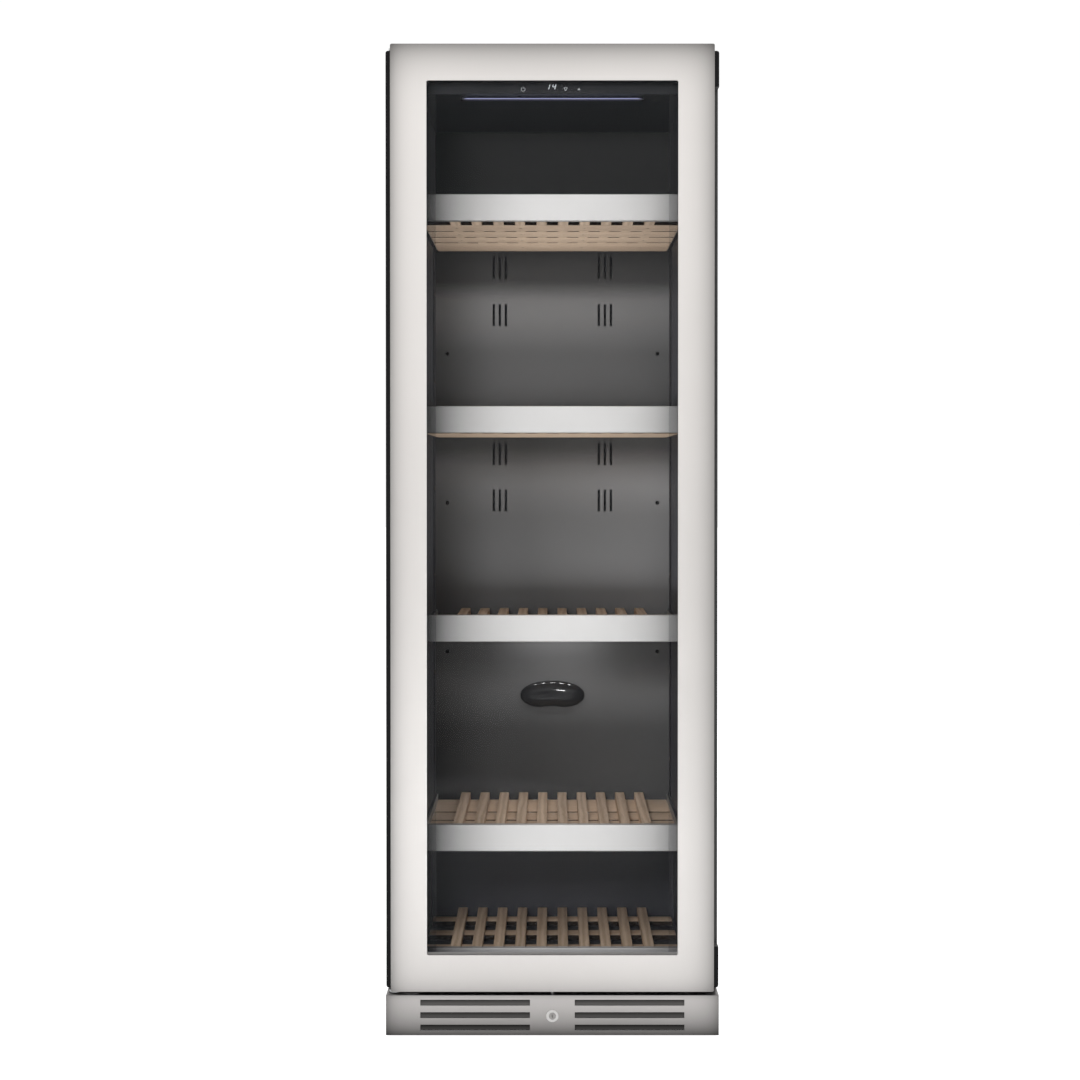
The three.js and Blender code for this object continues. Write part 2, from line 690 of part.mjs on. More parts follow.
// The top bracket lies on the cabinet roof; the bottom one is an angle fixed to the cabinet front.
function buildBrackets() {
  const armLeft = hingeX - 5;
  const armRight = armLeft + bracketWidth;
  const noseRight = hingeX + bracketNose;
  const pinLength = bushHeight - 2;
  const topLow = shellTop + gap;
  const topHigh = topLow + bracketThickness;
  const roofStart = cabinetFront + 8;
  const roofEnd = cabinetFront + 70;
  const topArm = joined([
    rod('z', hingeX, hingeY, bracketNose, topLow, topHigh),
    box(armLeft, noseRight, hingeY, roofStart + 12, topLow, topHigh),
    prism('z', [
      [armLeft, roofStart - 20], [noseRight, roofStart - 20], [armRight, roofStart], [armRight, roofEnd],
      [armLeft, roofEnd],
    ], topLow, topHigh),
    hingePin(coreTop - pinLength, topLow + 1),
  ]);
  place('top_hinge_bracket', topArm, zincSteel);

  const plateTop = boltTop;
  const plateBottom = plateTop - bracketThickness;
  const flangeBack = cabinetFront - gap;
  const flangeBottom = 32;
  const bottomArm = joined([
    rod('z', hingeX, hingeY, bracketNose, plateBottom, plateTop),
    box(armLeft, armRight, hingeY, flangeBack, plateBottom, plateTop),
    box(armLeft, armRight, flangeBack - 3, flangeBack, flangeBottom, plateTop),
    hingePin(plateTop - 1, coreBottom + pinLength),
  ]);
  place('bottom_hinge_bracket', bottomArm, zincSteel);
}

// ---------------------------------------------------------------- kickplate, lock and feet
function buildKickplate() {
  const t = sheet;
  const flangeBack = -290;
  const cuts = [];
  for (const z of kickSlot.levels) {
    for (const sign of [-1, 1]) {
      const a = Math.min(sign * kickSlot.from, sign * kickSlot.to);
      const b = Math.max(sign * kickSlot.from, sign * kickSlot.to);
      cuts.push(box(a, b, frontY - 1, frontY + t + 1, z - kickSlot.height / 2, z + kickSlot.height / 2));
    }
  }
  cuts.push(rod('y', 0, lockZ, lockRadius + gap, frontY - 1, frontY + t + 1, 32));
  cuts.push(rod('z', 0, boltY, boltRadius + 0.8, kickTop - t - 1, kickTop + 1, 16));
  const plate = box(-halfWidth, halfWidth, frontY, cabinetFront - 1, kickBottom, kickTop);
  const inside = box(-halfWidth + t, halfWidth - t, frontY + t, cabinetFront, kickBottom - 1, kickTop - t);
  const topNotch = box(-halfWidth + t, halfWidth - t, flangeBack, cabinetFront, kickTop - t - 1, kickTop + 1);
  place('kickplate', plate.subtract(joined([inside, topNotch, ...cuts])), stainless);
}

function buildLock() {
  const back = frontY + lockLength;
  const keyDepth = 9;
  const housing = rod('y', 0, lockZ, lockRadius, frontY, back, 32)
    .subtract(rod('y', 0, lockZ, barrelRadius + gap, frontY - 1, back + 1, 32));
  place('lock_housing', housing, stainless);

  const keyway = joined([
    rod('y', 0, lockZ + 1.6, 1.3, frontY - 1, frontY + keyDepth, 16),
    box(-0.7, 0.7, frontY - 1, frontY + keyDepth, lockZ - 3.2, lockZ + 1.6),
  ]);
  const cam = box(-3, 3, back - 1, back + 6, lockZ - 4, lockZ + 4);
  const barrel = rod('y', 0, lockZ, barrelRadius, frontY + 0.4, back, 32).add(cam);
  place('lock_barrel', barrel.subtract(keyway), zincSteel);

  const boltBottom = lockZ + lockRadius + 1;
  const shoe = box(-6, 6, boltY - 4, boltY + 4, boltBottom, boltBottom + 4);
  const bolt = rod('z', 0, boltY, boltRadius, boltBottom, boltTop, 16).add(shoe);
  place('lock_bolt', bolt, zincSteel);
}

function buildFeet() {
  const padEdge = footPad / 2;
  const profile = [
    [0, 0], [footRadius, 0], [footRadius, padEdge], [footRadius - padEdge, footPad],
    [footStem, footPad], [footStem, footTop], [0, footTop],
  ];
  for (const [corner, [x, y]] of Object.entries(footPlaces)) {
    const foot = new THREE.Group();
    foot.position.set(x, y, 0);
    cooler.add(foot);
    place(`${corner}_foot`, lathe(profile, 16), rubber, foot);
  }
}

// ---------------------------------------------------------------- machine compartment
function buildCompressor() {
  const { x, y, radius } = compressorPlace;
  const canBottom = 43;
  const seam = 135;
  const canTop = 224;
  const profile = [
    [0, canBottom], [radius - 6, canBottom], [radius, canBottom + 9], [radius, seam - 3], [radius + 3, seam],
    [radius + 3, seam + 4], [radius, seam + 7], [radius - 3, canTop - 46], [radius - 14, canTop - 22],
    [radius - 34, canTop - 6], [0, canTop],
  ];
  const can = lathe(profile, 24).translate([x, y, 0]);
  const plate = box(x - 72, x + 72, y - 60, y + 60, canBottom - 3, canBottom + 1);
  const legPlaces = [[-62, -50], [62, -50], [-62, 50], [62, 50]];
  const legBottom = shellBottom + sheet + gap;
  const legs = legPlaces.map(([dx, dy]) => rod('z', x + dx, y + dy, 9, legBottom, canBottom - 2.5, 14));
  place('compressor', joined([can, plate, ...legs]), blackEnamel);
}

function buildCondenser() {
  const { left, right, front, back, top, finPitch } = condenser;
  const low = shellBottom + sheet + gap;
  const margin = 10;
  const block = box(left, right, front, back, low, top);
  const air = [];
  for (let z = low + margin - 2; z < top - margin - 2; z += finPitch) {
    air.push(box(left - 1, right + 1, front + margin, back - margin, z, z + finPitch * 0.7));
  }
  place('condenser_coil', block.subtract(joined(air)), blackEnamel);
}

function buildDrainTray() {
  const { left, right, front, back, bottom, top, wall } = drainTray;
  const outside = box(left, right, front, back, bottom, top);
  const inside = box(left + wall, right - wall, front + wall, back - wall, bottom + wall, top + 1);
  place('drain_tray', outside.subtract(inside), blackPlastic);
}

function buildDischargeLine() {
  place('discharge_line', tube(dischargeRoute, 3), copper);
}

buildShell();
buildLiner();
buildFoam();
buildFrontFrame();
buildBase();
buildRear();
buildInlet();
buildDuctPanel();
buildDuctCover();
buildEvaporator();
buildFans();
buildControls();
shelfLevels.forEach((level, index) => buildShelf(index + 1, level));
buildRails('left', -1);
buildRails('right', 1);
buildBottomShelf();
buildDoorSkin();
buildDoorCore();
buildGlazing();
buildGasket();
buildBushes();
buildBrackets();
buildKickplate();
buildLock();
buildFeet();
buildCompressor();
buildCondenser();
buildDrainTray();
buildDischargeLine();

export default cooler;
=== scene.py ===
# Looks of the wine cooler: camera, studio light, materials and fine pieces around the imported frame.
# Metres, in the frame's own axes: +Z up, the door faces -Y, origin on the floor.
import math

import bmesh
import bpy
from mathutils import Matrix, Vector


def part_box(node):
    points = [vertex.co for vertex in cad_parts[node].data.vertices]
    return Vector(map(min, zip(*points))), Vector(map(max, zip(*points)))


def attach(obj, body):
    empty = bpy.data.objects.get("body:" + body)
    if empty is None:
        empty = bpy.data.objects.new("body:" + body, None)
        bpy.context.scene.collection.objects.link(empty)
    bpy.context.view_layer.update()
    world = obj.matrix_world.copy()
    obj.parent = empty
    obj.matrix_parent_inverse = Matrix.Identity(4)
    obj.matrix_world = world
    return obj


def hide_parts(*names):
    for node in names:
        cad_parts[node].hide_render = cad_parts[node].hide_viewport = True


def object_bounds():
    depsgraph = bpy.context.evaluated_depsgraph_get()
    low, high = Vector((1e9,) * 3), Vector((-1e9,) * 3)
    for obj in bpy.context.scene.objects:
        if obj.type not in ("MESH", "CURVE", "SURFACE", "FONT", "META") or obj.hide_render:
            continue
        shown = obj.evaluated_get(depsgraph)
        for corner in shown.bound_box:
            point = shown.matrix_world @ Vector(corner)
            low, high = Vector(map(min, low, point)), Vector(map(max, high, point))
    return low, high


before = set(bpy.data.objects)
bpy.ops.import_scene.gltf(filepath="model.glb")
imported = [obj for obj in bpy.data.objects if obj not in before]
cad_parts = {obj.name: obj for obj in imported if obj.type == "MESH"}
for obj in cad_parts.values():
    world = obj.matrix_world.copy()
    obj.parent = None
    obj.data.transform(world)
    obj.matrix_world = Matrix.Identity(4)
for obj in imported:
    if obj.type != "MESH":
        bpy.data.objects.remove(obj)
cad_low, cad_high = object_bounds()
MM = 0.001


# ---- places read from the frame
def low(node):
    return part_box(node)[0]


def high(node):
    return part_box(node)[1]


def middle(node):
    return (low(node) + high(node)) / 2


def put_in_scene(thing):
    bpy.context.scene.collection.objects.link(thing)


# ---- camera, floor and light
CAMERA_DISTANCE = 3.32  # in front of the door
CAMERA_HEIGHT = 1.015
CAMERA_TILT = 0.65  # degrees down
FOCAL_LENGTH = 62.12
SENSOR = 36.0
SHIFT = (-0.01144, -0.0440)
AMBIENT = 0.42  # strength of the white surroundings as light
REFLECTED = 1.2  # and as seen in the metal
FLOOR_REFLECTED = 0.34


def make_camera():
    data = bpy.data.cameras.new("camera")
    data.lens = FOCAL_LENGTH
    data.sensor_width = SENSOR
    data.shift_x, data.shift_y = SHIFT
    camera = bpy.data.objects.new("camera", data)
    camera.location = (0, cad_low.y - CAMERA_DISTANCE, CAMERA_HEIGHT)
    camera.rotation_euler = (math.radians(90 - CAMERA_TILT), 0, 0)
    put_in_scene(camera)
    bpy.context.scene.camera = camera


def background(tree, colour, strength):
    made = tree.nodes.new("ShaderNodeBackground")
    made.inputs["Color"].default_value = (*colour, 1)
    made.inputs["Strength"].default_value = strength
    return made.outputs[0]


def make_world():
    """A white studio: pure white behind, bright for reflections, dimmer as ambient light."""
    world = bpy.data.worlds.new("studio")
    bpy.context.scene.world = world
    bpy.context.scene.view_settings.view_transform = "Standard"
    world.use_nodes = True
    tree = world.node_tree
    tree.nodes.clear()
    out = tree.nodes.new("ShaderNodeOutputWorld")
    path = tree.nodes.new("ShaderNodeLightPath")
    shader = background(tree, (1.0, 1.0, 1.0), AMBIENT)
    for ray, colour, strength in (
        ("Is Glossy Ray", (1.0, 0.99, 0.98), REFLECTED), ("Is Camera Ray", (1, 1, 1), 1.02),
    ):
        mix = tree.nodes.new("ShaderNodeMixShader")
        tree.links.new(path.outputs[ray], mix.inputs["Fac"])
        tree.links.new(shader, mix.inputs[1])
        tree.links.new(background(tree, colour, strength), mix.inputs[2])
        shader = mix.outputs[0]
    tree.links.new(shader, out.inputs["Surface"])


def area_light(name, place, aim, size, power, glossy=False):
    """A soft box; most of them are kept out of reflections so that the metal stays even."""
    data = bpy.data.lights.new(name, "AREA")
    data.shape = "RECTANGLE"
    data.size, data.size_y = size
    data.energy = power
    lamp = bpy.data.objects.new(name, data)
    lamp.location = place
    lamp.rotation_mode = "QUATERNION"
    lamp.rotation_quaternion = (Vector(aim) - Vector(place)).to_track_quat("-Z", "Y")
    lamp.visible_glossy = glossy
    lamp.visible_camera = False
    put_in_scene(lamp)


def make_stage():
    """A wide pale floor that stays bright to the camera and fainter in reflections."""
    size = 30.0
    corners = [(-size, -size, 0), (size, -size, 0), (size, size, 0), (-size, size, 0)]
    mesh = bpy.data.meshes.new("floor")
    mesh.from_pydata(corners, [], [(0, 1, 2, 3)])
    floor = bpy.data.objects.new("floor", mesh)
    put_in_scene(floor)
    shader = Shader("pale_floor")
    shader.set(base=(0.72, 0.72, 0.72), roughness=0.9, specular=0.1)
    shader.input("Emission Color").default_value = (1, 1, 1, 1)
    path = shader.node("ShaderNodeLightPath")
    mirrored = shader.times(path.outputs["Is Glossy Ray"], FLOOR_REFLECTED)
    glow = shader.math("ADD", path.outputs["Is Camera Ray"], mirrored)
    shader.feed("Emission Strength", glow)
    floor.data.materials.append(shader.material)


def make_lamps():
    """Soft boxes in front, small lamps inside for the back panel and the cap, and a rim light behind."""
    area_light("key", (-0.45, -3.2, 1.55), (0.05, 0, 0.95), (0.5, 0.35), 62)
    area_light("low_fill", (-0.3, -3.2, 0.5), (0, 0, 0.9), (0.5, 0.5), 18)
    for number in (2, 3):
        above = high(f"shelf_{number}_trim").z + 20 * MM
        aim = (0.03, 0.05, above + 1)
        area_light(f"zone_{number}_light", (0.03, 0.02, above), aim, (0.40, 0.34), 1.1)
    cap = middle("duct_cover")
    area_light("cap_glint", (0.05, -0.20, cap.z + 0.05), cap, (0.06, 0.014), 0.25, True)
    under_rack = low("shelf_3_rack").z - 12 * MM
    for i in range(-2, 3):
        place = (0.04 * i, 0.17, under_rack)
        area_light(f"cap_dash_{i + 3}", place, cap, (0.018, 0.010), 0.055, True)
    area_light("rim", (1.8, 2.6, 2.6), (0, 0, 0.9), (1.5, 1.5), 40)


# ---- shader helper
class Shader:
    """A Principled material with short ways to add node chains."""

    def __init__(self, name):
        self.material = bpy.data.materials.new(name)
        self.material.use_nodes = True
        self.tree = self.material.node_tree
        self.bsdf = self.tree.nodes["Principled BSDF"]
        self._coords = None

    def input(self, name):
        return self.bsdf.inputs[name]

    def set(self, base=None, roughness=None, metallic=None, specular=None, coat=None, coat_roughness=None):
        values = {
            "Base Color": base and (*base, 1), "Roughness": roughness, "Metallic": metallic,
            "Specular IOR Level": specular, "Coat Weight": coat, "Coat Roughness": coat_roughness,
        }
        for key, value in values.items():
            if value is not None:
                self.input(key).default_value = value
        return self

    def node(self, kind, **settings):
        made = self.tree.nodes.new(kind)
        for key, value in settings.items():
            setattr(made, key, value)
        return made

    def link(self, source, target):
        self.tree.links.new(source, target)

    def feed(self, name, source):
        self.link(source, self.input(name))

    def coords(self, scale=(1, 1, 1)):
        if self._coords is None:
            self._coords = self.node("ShaderNodeTexCoord").outputs["Object"]
        mapping = self.node("ShaderNodeMapping")
        mapping.inputs["Scale"].default_value = scale
        self.link(self._coords, mapping.inputs["Vector"])
        return mapping.outputs["Vector"]

    def noise(self, scale, detail=3.0, stretch=(1, 1, 1), roughness=0.55):
        made = self.node("ShaderNodeTexNoise")
        made.inputs["Scale"].default_value = scale
        made.inputs["Detail"].default_value = detail
        made.inputs["Roughness"].default_value = roughness
        self.link(self.coords(stretch), made.inputs["Vector"])
        return made.outputs["Fac"]

    def spread(self, value, low_out, high_out, low_in=0.3, high_in=0.7):
        made = self.node("ShaderNodeMapRange")
        made.inputs["From Min"].default_value = low_in
        made.inputs["From Max"].default_value = high_in
        made.inputs["To Min"].default_value = low_out
        made.inputs["To Max"].default_value = high_out
        self.link(value, made.inputs["Value"])
        return made.outputs["Result"]

    def math(self, operation, first, second=None):
        made = self.node("ShaderNodeMath", operation=operation)
        for socket, value in zip(made.inputs, (first, second)):
            if isinstance(value, (int, float)):
                socket.default_value = value
            elif value is not None:
                self.link(value, socket)
        return made.outputs[0]

    def times(self, first, second):
        return self.math("MULTIPLY", first, second)

    def ramp(self, value, stops):
        made = self.node("ShaderNodeValToRGB")
        elements = made.color_ramp.elements
        while len(elements) < len(stops):
            elements.new(0.5)
        for element, (position, colour) in zip(elements, stops):
            element.position = position
            element.color = (*colour, 1)
        self.link(value, made.inputs["Fac"])
        return made.outputs["Color"]

    def tint(self, colour, factor):
        """Multiply a colour (socket or triple) by a grey factor."""
        made = self.node("ShaderNodeVectorMath", operation="SCALE")
        if isinstance(colour, tuple):
            made.inputs[0].default_value = colour
        else:
            self.link(colour, made.inputs[0])
        self.link(factor, made.inputs["Scale"])
        return made.outputs[0]

    def paint(self, colour, factor):
        self.feed("Base Color", self.tint(colour, factor))

    def bump(self, height, strength, distance):
        made = self.node("ShaderNodeBump")
        made.inputs["Strength"].default_value = strength
        made.inputs["Distance"].default_value = distance
        self.link(height, made.inputs["Height"])
        self.feed("Normal", made.outputs["Normal"])

    def axis(self, name):
        split = self.node("ShaderNodeSeparateXYZ")
        self.link(self.coords(), split.inputs[0])
        return split.outputs[name]

    def off_centre(self, axis, centre):
        """Distance from a plane across one axis."""
        return self.math("ABSOLUTE", self.math("SUBTRACT", self.axis(axis), centre))

    def fade(self, axis, edge, direction, depth, reach):
        """1 - depth * exp(-distance / reach), with the distance measured inwards from an edge."""
        inward = self.times(self.math("SUBTRACT", self.axis(axis), edge), -direction / reach)
        falling = self.math("EXPONENT", inward)
        return self.math("SUBTRACT", 1.0, self.times(falling, depth))


# ---- materials
def brushed(name, base, roughness, stretch, fades=(), depth=0.10):
    """Brushed metal: long fine streaks along one axis, and painted shade: soft darkening towards named
    edges.
    """
    shader = Shader(name).set(roughness=roughness, metallic=1.0)
    streaks = shader.noise(1.0, 4.0, stretch, 0.7)
    clouds = shader.noise(3.0, 2.0)
    factor = shader.spread(streaks, 1 - depth, 1.0)
    factor = shader.times(factor, shader.spread(clouds, 0.965, 1.0))
    # painted shade towards each named edge
    for fade in fades:
        factor = shader.times(factor, shader.fade(*fade))
    shader.paint(base, factor)
    shader.feed("Roughness", shader.spread(streaks, roughness - 0.06, roughness + 0.06))
    shader.bump(streaks, 0.05, 0.0002)
    return shader.material


WINDOW_HALF = 224 * MM
SIDE_BAND = 15 * MM  # down each side of the inner pane
VERTICAL_BRUSH = (1100, 1100, 9)
SIDEWAYS_BRUSH = (9, 1100, 1100)


def stainless_door():
    # painted shade: the door front darkens towards all four outer edges
    fades = [
        ("X", cad_low.x + 0.0075, 1, 0.60, 0.016), ("X", cad_high.x - 0.0075, -1, 0.60, 0.023),
        ("Z", cad_high.z, -1, 0.66, 0.034), ("Z", low("door_skin").z, 1, 0.36, 0.021),
    ]
    return brushed("stainless_door", (0.80, 0.776, 0.757), 0.36, VERTICAL_BRUSH, fades, 0.03)


def stainless_kickplate():
    # painted shade: darker towards both sides and strongly towards the floor; a painted shadow in a thin
    # band along the top, under the door
    fades = [
        ("X", cad_low.x, 1, 0.55, 0.016), ("X", cad_high.x, -1, 0.55, 0.018),
        ("Z", low("kickplate").z, 1, 0.87, 0.045), ("Z", high("kickplate").z, -1, 0.30, 0.005),
    ]
    return brushed("stainless_kickplate", (0.765, 0.74, 0.726), 0.36, SIDEWAYS_BRUSH, fades, 0.03)


def trim_metal(name="trim_aluminium", metallic=0.75, base=(0.95, 0.945, 0.94)):
    """Satin aluminium with painted shade: a little darker towards both ends."""
    shader = Shader(name).set(roughness=0.46, metallic=metallic)
    streaks = shader.noise(1.0, 4.0, SIDEWAYS_BRUSH, 0.7)
    # painted shade: brightest a little right of the middle, darker towards both ends
    off_centre = shader.off_centre("X", 0.03)
    bend = shader.math("POWER", shader.math("DIVIDE", off_centre, 0.24), 2.5)
    ends = shader.math("SUBTRACT", 1.0, shader.times(bend, 0.72))
    factor = shader.times(ends, shader.spread(streaks, 0.98, 1.0))
    shader.paint(base, factor)
    shader.feed("Roughness", shader.spread(streaks, 0.43, 0.49))
    return shader.material


def spacer_bar():
    """Bar between the panes: painted light along the bottom, where the light reaches the aluminium, and
    painted shade, nearly black, up the sides and over the top.
    """
    shader = Shader("spacer_bar").set(roughness=0.5, metallic=0.1)
    height = high("glass_spacer").z - low("glass_spacer").z
    bottom = low("glass_spacer").z + height * 0.01
    # painted light along the bottom, painted shade above it
    tone = shader.spread(shader.axis("Z"), 1.0, 0.02, bottom, bottom + 2 * MM)
    grain = shader.spread(shader.noise(900), 0.93, 1.0)
    tone = shader.times(tone, grain)
    shader.paint((0.60, 0.59, 0.585), tone)
    return shader.material


def zinc():
    shader = Shader("zinc_steel").set(roughness=0.42, metallic=1.0)
    spangle = shader.node("ShaderNodeTexVoronoi")
    spangle.inputs["Scale"].default_value = 120
    shader.link(shader.coords(), spangle.inputs["Vector"])
    tone = shader.spread(spangle.outputs["Color"], 0.82, 1.0, 0.0, 1.0)
    shader.paint((0.56, 0.575, 0.58), tone)
    shader.feed("Roughness", shader.spread(shader.noise(40), 0.34, 0.5))
    shader.bump(shader.noise(260), 0.1, 0.0003)
    return shader.material


def bright_steel():
    shader = Shader("bright_steel").set(roughness=0.22, metallic=1.0)
    wear = shader.noise(500, 3)
    shader.paint((0.74, 0.73, 0.72), shader.spread(wear, 0.93, 1.0))
    shader.feed("Roughness", shader.spread(wear, 0.16, 0.3))
    return shader.material


def moulded(name, colour, roughness, grain=1800, strength=0.15, specular=0.5):
    """Moulded plastic or paint: a fine spark-eroded grain and faint cloudy variation."""
    shader = Shader(name).set(roughness=roughness, specular=specular)
    clouds = shader.spread(shader.noise(6, 3), 0.85, 1.12)
    shader.paint(colour, clouds)
    fine = shader.noise(grain, 2)
    shader.feed("Roughness", shader.spread(fine, roughness - 0.06, roughness + 0.06))
    shader.bump(fine, strength, 0.0004)
    return shader.material


def beech(name, along):
    """Beech boards: straight grain along one axis, short dark flecks, and a tone for each board."""
    shader = Shader(name).set(roughness=0.55, specular=0.35)
    fine, slow = 900, 60
    grain_stretch = (0.10, 1, 1) if along == "X" else (1, 0.10, 1)
    fleck_stretch = (slow, fine, fine) if along == "X" else (fine, slow, fine)
    bands = "Y" if along == "X" else "X"
    rings = shader.node("ShaderNodeTexWave", wave_type="BANDS", bands_direction=bands)
    rings.inputs["Scale"].default_value = 26
    rings.inputs["Distortion"].default_value = 6.0
    rings.inputs["Detail"].default_value = 3
    rings.inputs["Detail Scale"].default_value = 1.2
    shader.link(shader.coords(grain_stretch), rings.inputs["Vector"])
    grain = shader.ramp(rings.outputs["Fac"], [
        (0.0, (0.58, 0.425, 0.30)), (0.5, (0.675, 0.51, 0.37)), (1.0, (0.77, 0.60, 0.45)),
    ])
    flecks = shader.spread(shader.noise(1.0, 3, fleck_stretch), 0.82, 1.0, 0.38, 0.5)
    tone = shader.node("ShaderNodeAttribute", attribute_name="board_tone")
    boards = shader.spread(tone.outputs["Fac"], 0.86, 1.10, 0.0, 1.0)
    shader.paint(shader.tint(grain, flecks), boards)
    shader.bump(shader.noise(1.0, 3, fleck_stretch), 0.18, 0.0003)
    return shader.material


def glazing():
    """Low-iron double glazing: mostly clear, a slight grey tint and a faint reflection."""
    shader = Shader("glazing").set(base=(0.02, 0.024, 0.026), roughness=0.02, specular=0.5)
    smear = shader.noise(7, 2)
    shader.feed("Alpha", shader.spread(smear, 0.035, 0.05))
    shader.feed("Roughness", shader.spread(smear, 0.01, 0.03))
    return shader.material


def edged_glazing():
    """The inner pane: clear, with a darker, less clear band down each side of the window."""
    shader = Shader("edged_glazing").set(base=(0.012, 0.012, 0.014), roughness=0.03, specular=0.4)
    off_centre = shader.off_centre("X", 0.0)
    start = WINDOW_HALF - SIDE_BAND
    band = shader.spread(off_centre, 0.04, 0.155, start, start + 0.4 * MM)
    smear = shader.spread(shader.noise(7, 2), 0.95, 1.1)
    shader.feed("Alpha", shader.times(band, smear))
    return shader.material


def glossy(name, colour, roughness=0.08, specular=0.25):
    shader = Shader(name).set(roughness=roughness, specular=specular, coat=0.1, coat_roughness=0.04)
    clouds = shader.spread(shader.noise(14, 2), 0.8, 1.1)
    shader.paint(colour, clouds)
    smear = shader.spread(shader.noise(60, 3), roughness - 0.03, roughness + 0.05)
    shader.feed("Roughness", smear)
    return shader.material


def glowing(name, colour, strength, base):
    shader = Shader(name).set(base=base, roughness=0.4)
    dots = shader.spread(shader.noise(1.0, 1, (60, 4, 4)), 0.85, 1.0)
    shader.feed("Emission Color", shader.tint(colour, dots))
    shader.input("Emission Strength").default_value = strength
    return shader.material


def led_diffuser():
    """Frosted strip that glows along its middle line and fades towards both ends."""
    node = "light_diffuser"
    shader = Shader("led_diffuser").set(base=(0.045, 0.045, 0.055), roughness=0.4)
    centre = middle(node)
    across = shader.off_centre("Z", centre.z)
    line = shader.spread(across, 1.0, 0.06, 0.0004, 0.0019)
    along = shader.off_centre("X", 0.0)
    ends = shader.spread(along, 1.0, 0.05, high(node).x * 0.955, high(node).x * 0.985)
    glow = shader.times(line, ends)
    shader.feed("Emission Color", shader.tint((0.34, 0.35, 0.62), glow))
    shader.input("Emission Strength").default_value = 1.0
    return shader.material


def copper():
    shader = Shader("copper").set(roughness=0.3, metallic=1.0)
    stain = shader.noise(90, 3)
    tones = [(0.3, (0.36, 0.17, 0.10)), (0.6, (0.72, 0.40, 0.25))]
    shader.feed("Base Color", shader.ramp(stain, tones))
    shader.feed("Roughness", shader.spread(stain, 0.45, 0.22))
    return shader.material


# For the zone under each shelf: the shade at its foot, in its bright band and close under the shelf,
# and the height of the band as a share of the zone.
PANEL_LIGHT = {1: (0.41, 0.80, 0.21, 0.66), 2: (0.53, 0.82, 0.37, 0.78), 3: (0.28, 0.53, 0.36, 0.60)}
PANEL_END_SHADES = (0.30, 0.20)  # below the lowest pull-out shelf and above the highest


def panel_shades():
    """Shades from the foot of the panel up; each zone has a bright band a little below its shelf."""
    lowest, highest = PANEL_END_SHADES
    stops = [(low("shelf_4_trim").z, lowest)]
    for number in sorted(PANEL_LIGHT, reverse=True):
        foot, bright, close, band = PANEL_LIGHT[number]
        floor = high(f"shelf_{number + 1}_trim").z
        rise = low(f"shelf_{number}_trim").z - floor
        shares = (0.0, band - 0.28, band - 0.04, band + 0.04, band + 0.16, 1.0)
        shades = (foot, foot, bright, bright, close, close)
        stops += [(floor + share * rise, shade) for share, shade in zip(shares, shades)]
    stops.append((high("shelf_1_trim").z, highest))
    return stops


def back_panel_material():
    """Grey painted panel with painted light and shade on it: a bright band under each shelf, and lighter
    towards the right below the second shelf.
    """
    shader = Shader("duct_panel_grey").set(roughness=0.55, specular=0.2)
    clouds = shader.spread(shader.noise(3, 2), 0.94, 1.04)
    full = cad_high.z
    stops = [(z / full, (shade, shade, shade)) for z, shade in panel_shades()]
    shade = shader.ramp(shader.math("DIVIDE", shader.axis("Z"), full), stops)
    # painted light: below the second shelf the panel gets lighter towards the right and darker on the left
    below = shader.spread(shader.axis("Z"), 1.0, 0.0, 1.10, 1.12)
    sideways = shader.spread(shader.axis("X"), -0.15, 0.40, -0.05, 0.20)
    slant = shader.math("ADD", 1.0, shader.times(below, sideways))
    dark = shader.times(shader.times(shade, slant), clouds)
    shader.paint((0.20, 0.20, 0.203), dark)
    shader.bump(shader.noise(1500, 2), 0.12, 0.0004)
    return shader.material


SLOT_PITCH = 22.3 * MM
SLOT_HEIGHT = 10.5 * MM
LOWEST_SLOT = 20.8 * MM  # centre of the lowest row of air slots
SLOT_ROWS = 3


def louvre():
    """Dark folded sheet, lighter at the foot of each slot where the light reaches it."""
    shader = Shader("louvre_grey").set(roughness=0.6, specular=0.05)
    foot = LOWEST_SLOT - SLOT_HEIGHT / 2
    turns = shader.math("DIVIDE", shader.math("SUBTRACT", shader.axis("Z"), foot), SLOT_PITCH)
    height = shader.math("FRACT", turns)
    shade = shader.spread(height, 1.0, 0.10, 0.0, SLOT_HEIGHT / SLOT_PITCH)
    # painted shade: the lower rows of slots are darker
    rows = shader.spread(shader.axis("Z"), 0.42, 0.95, LOWEST_SLOT, LOWEST_SLOT + 2 * SLOT_PITCH)
    tone = shader.times(shade, rows)
    shader.paint((0.12, 0.116, 0.112), tone)
    return shader.material


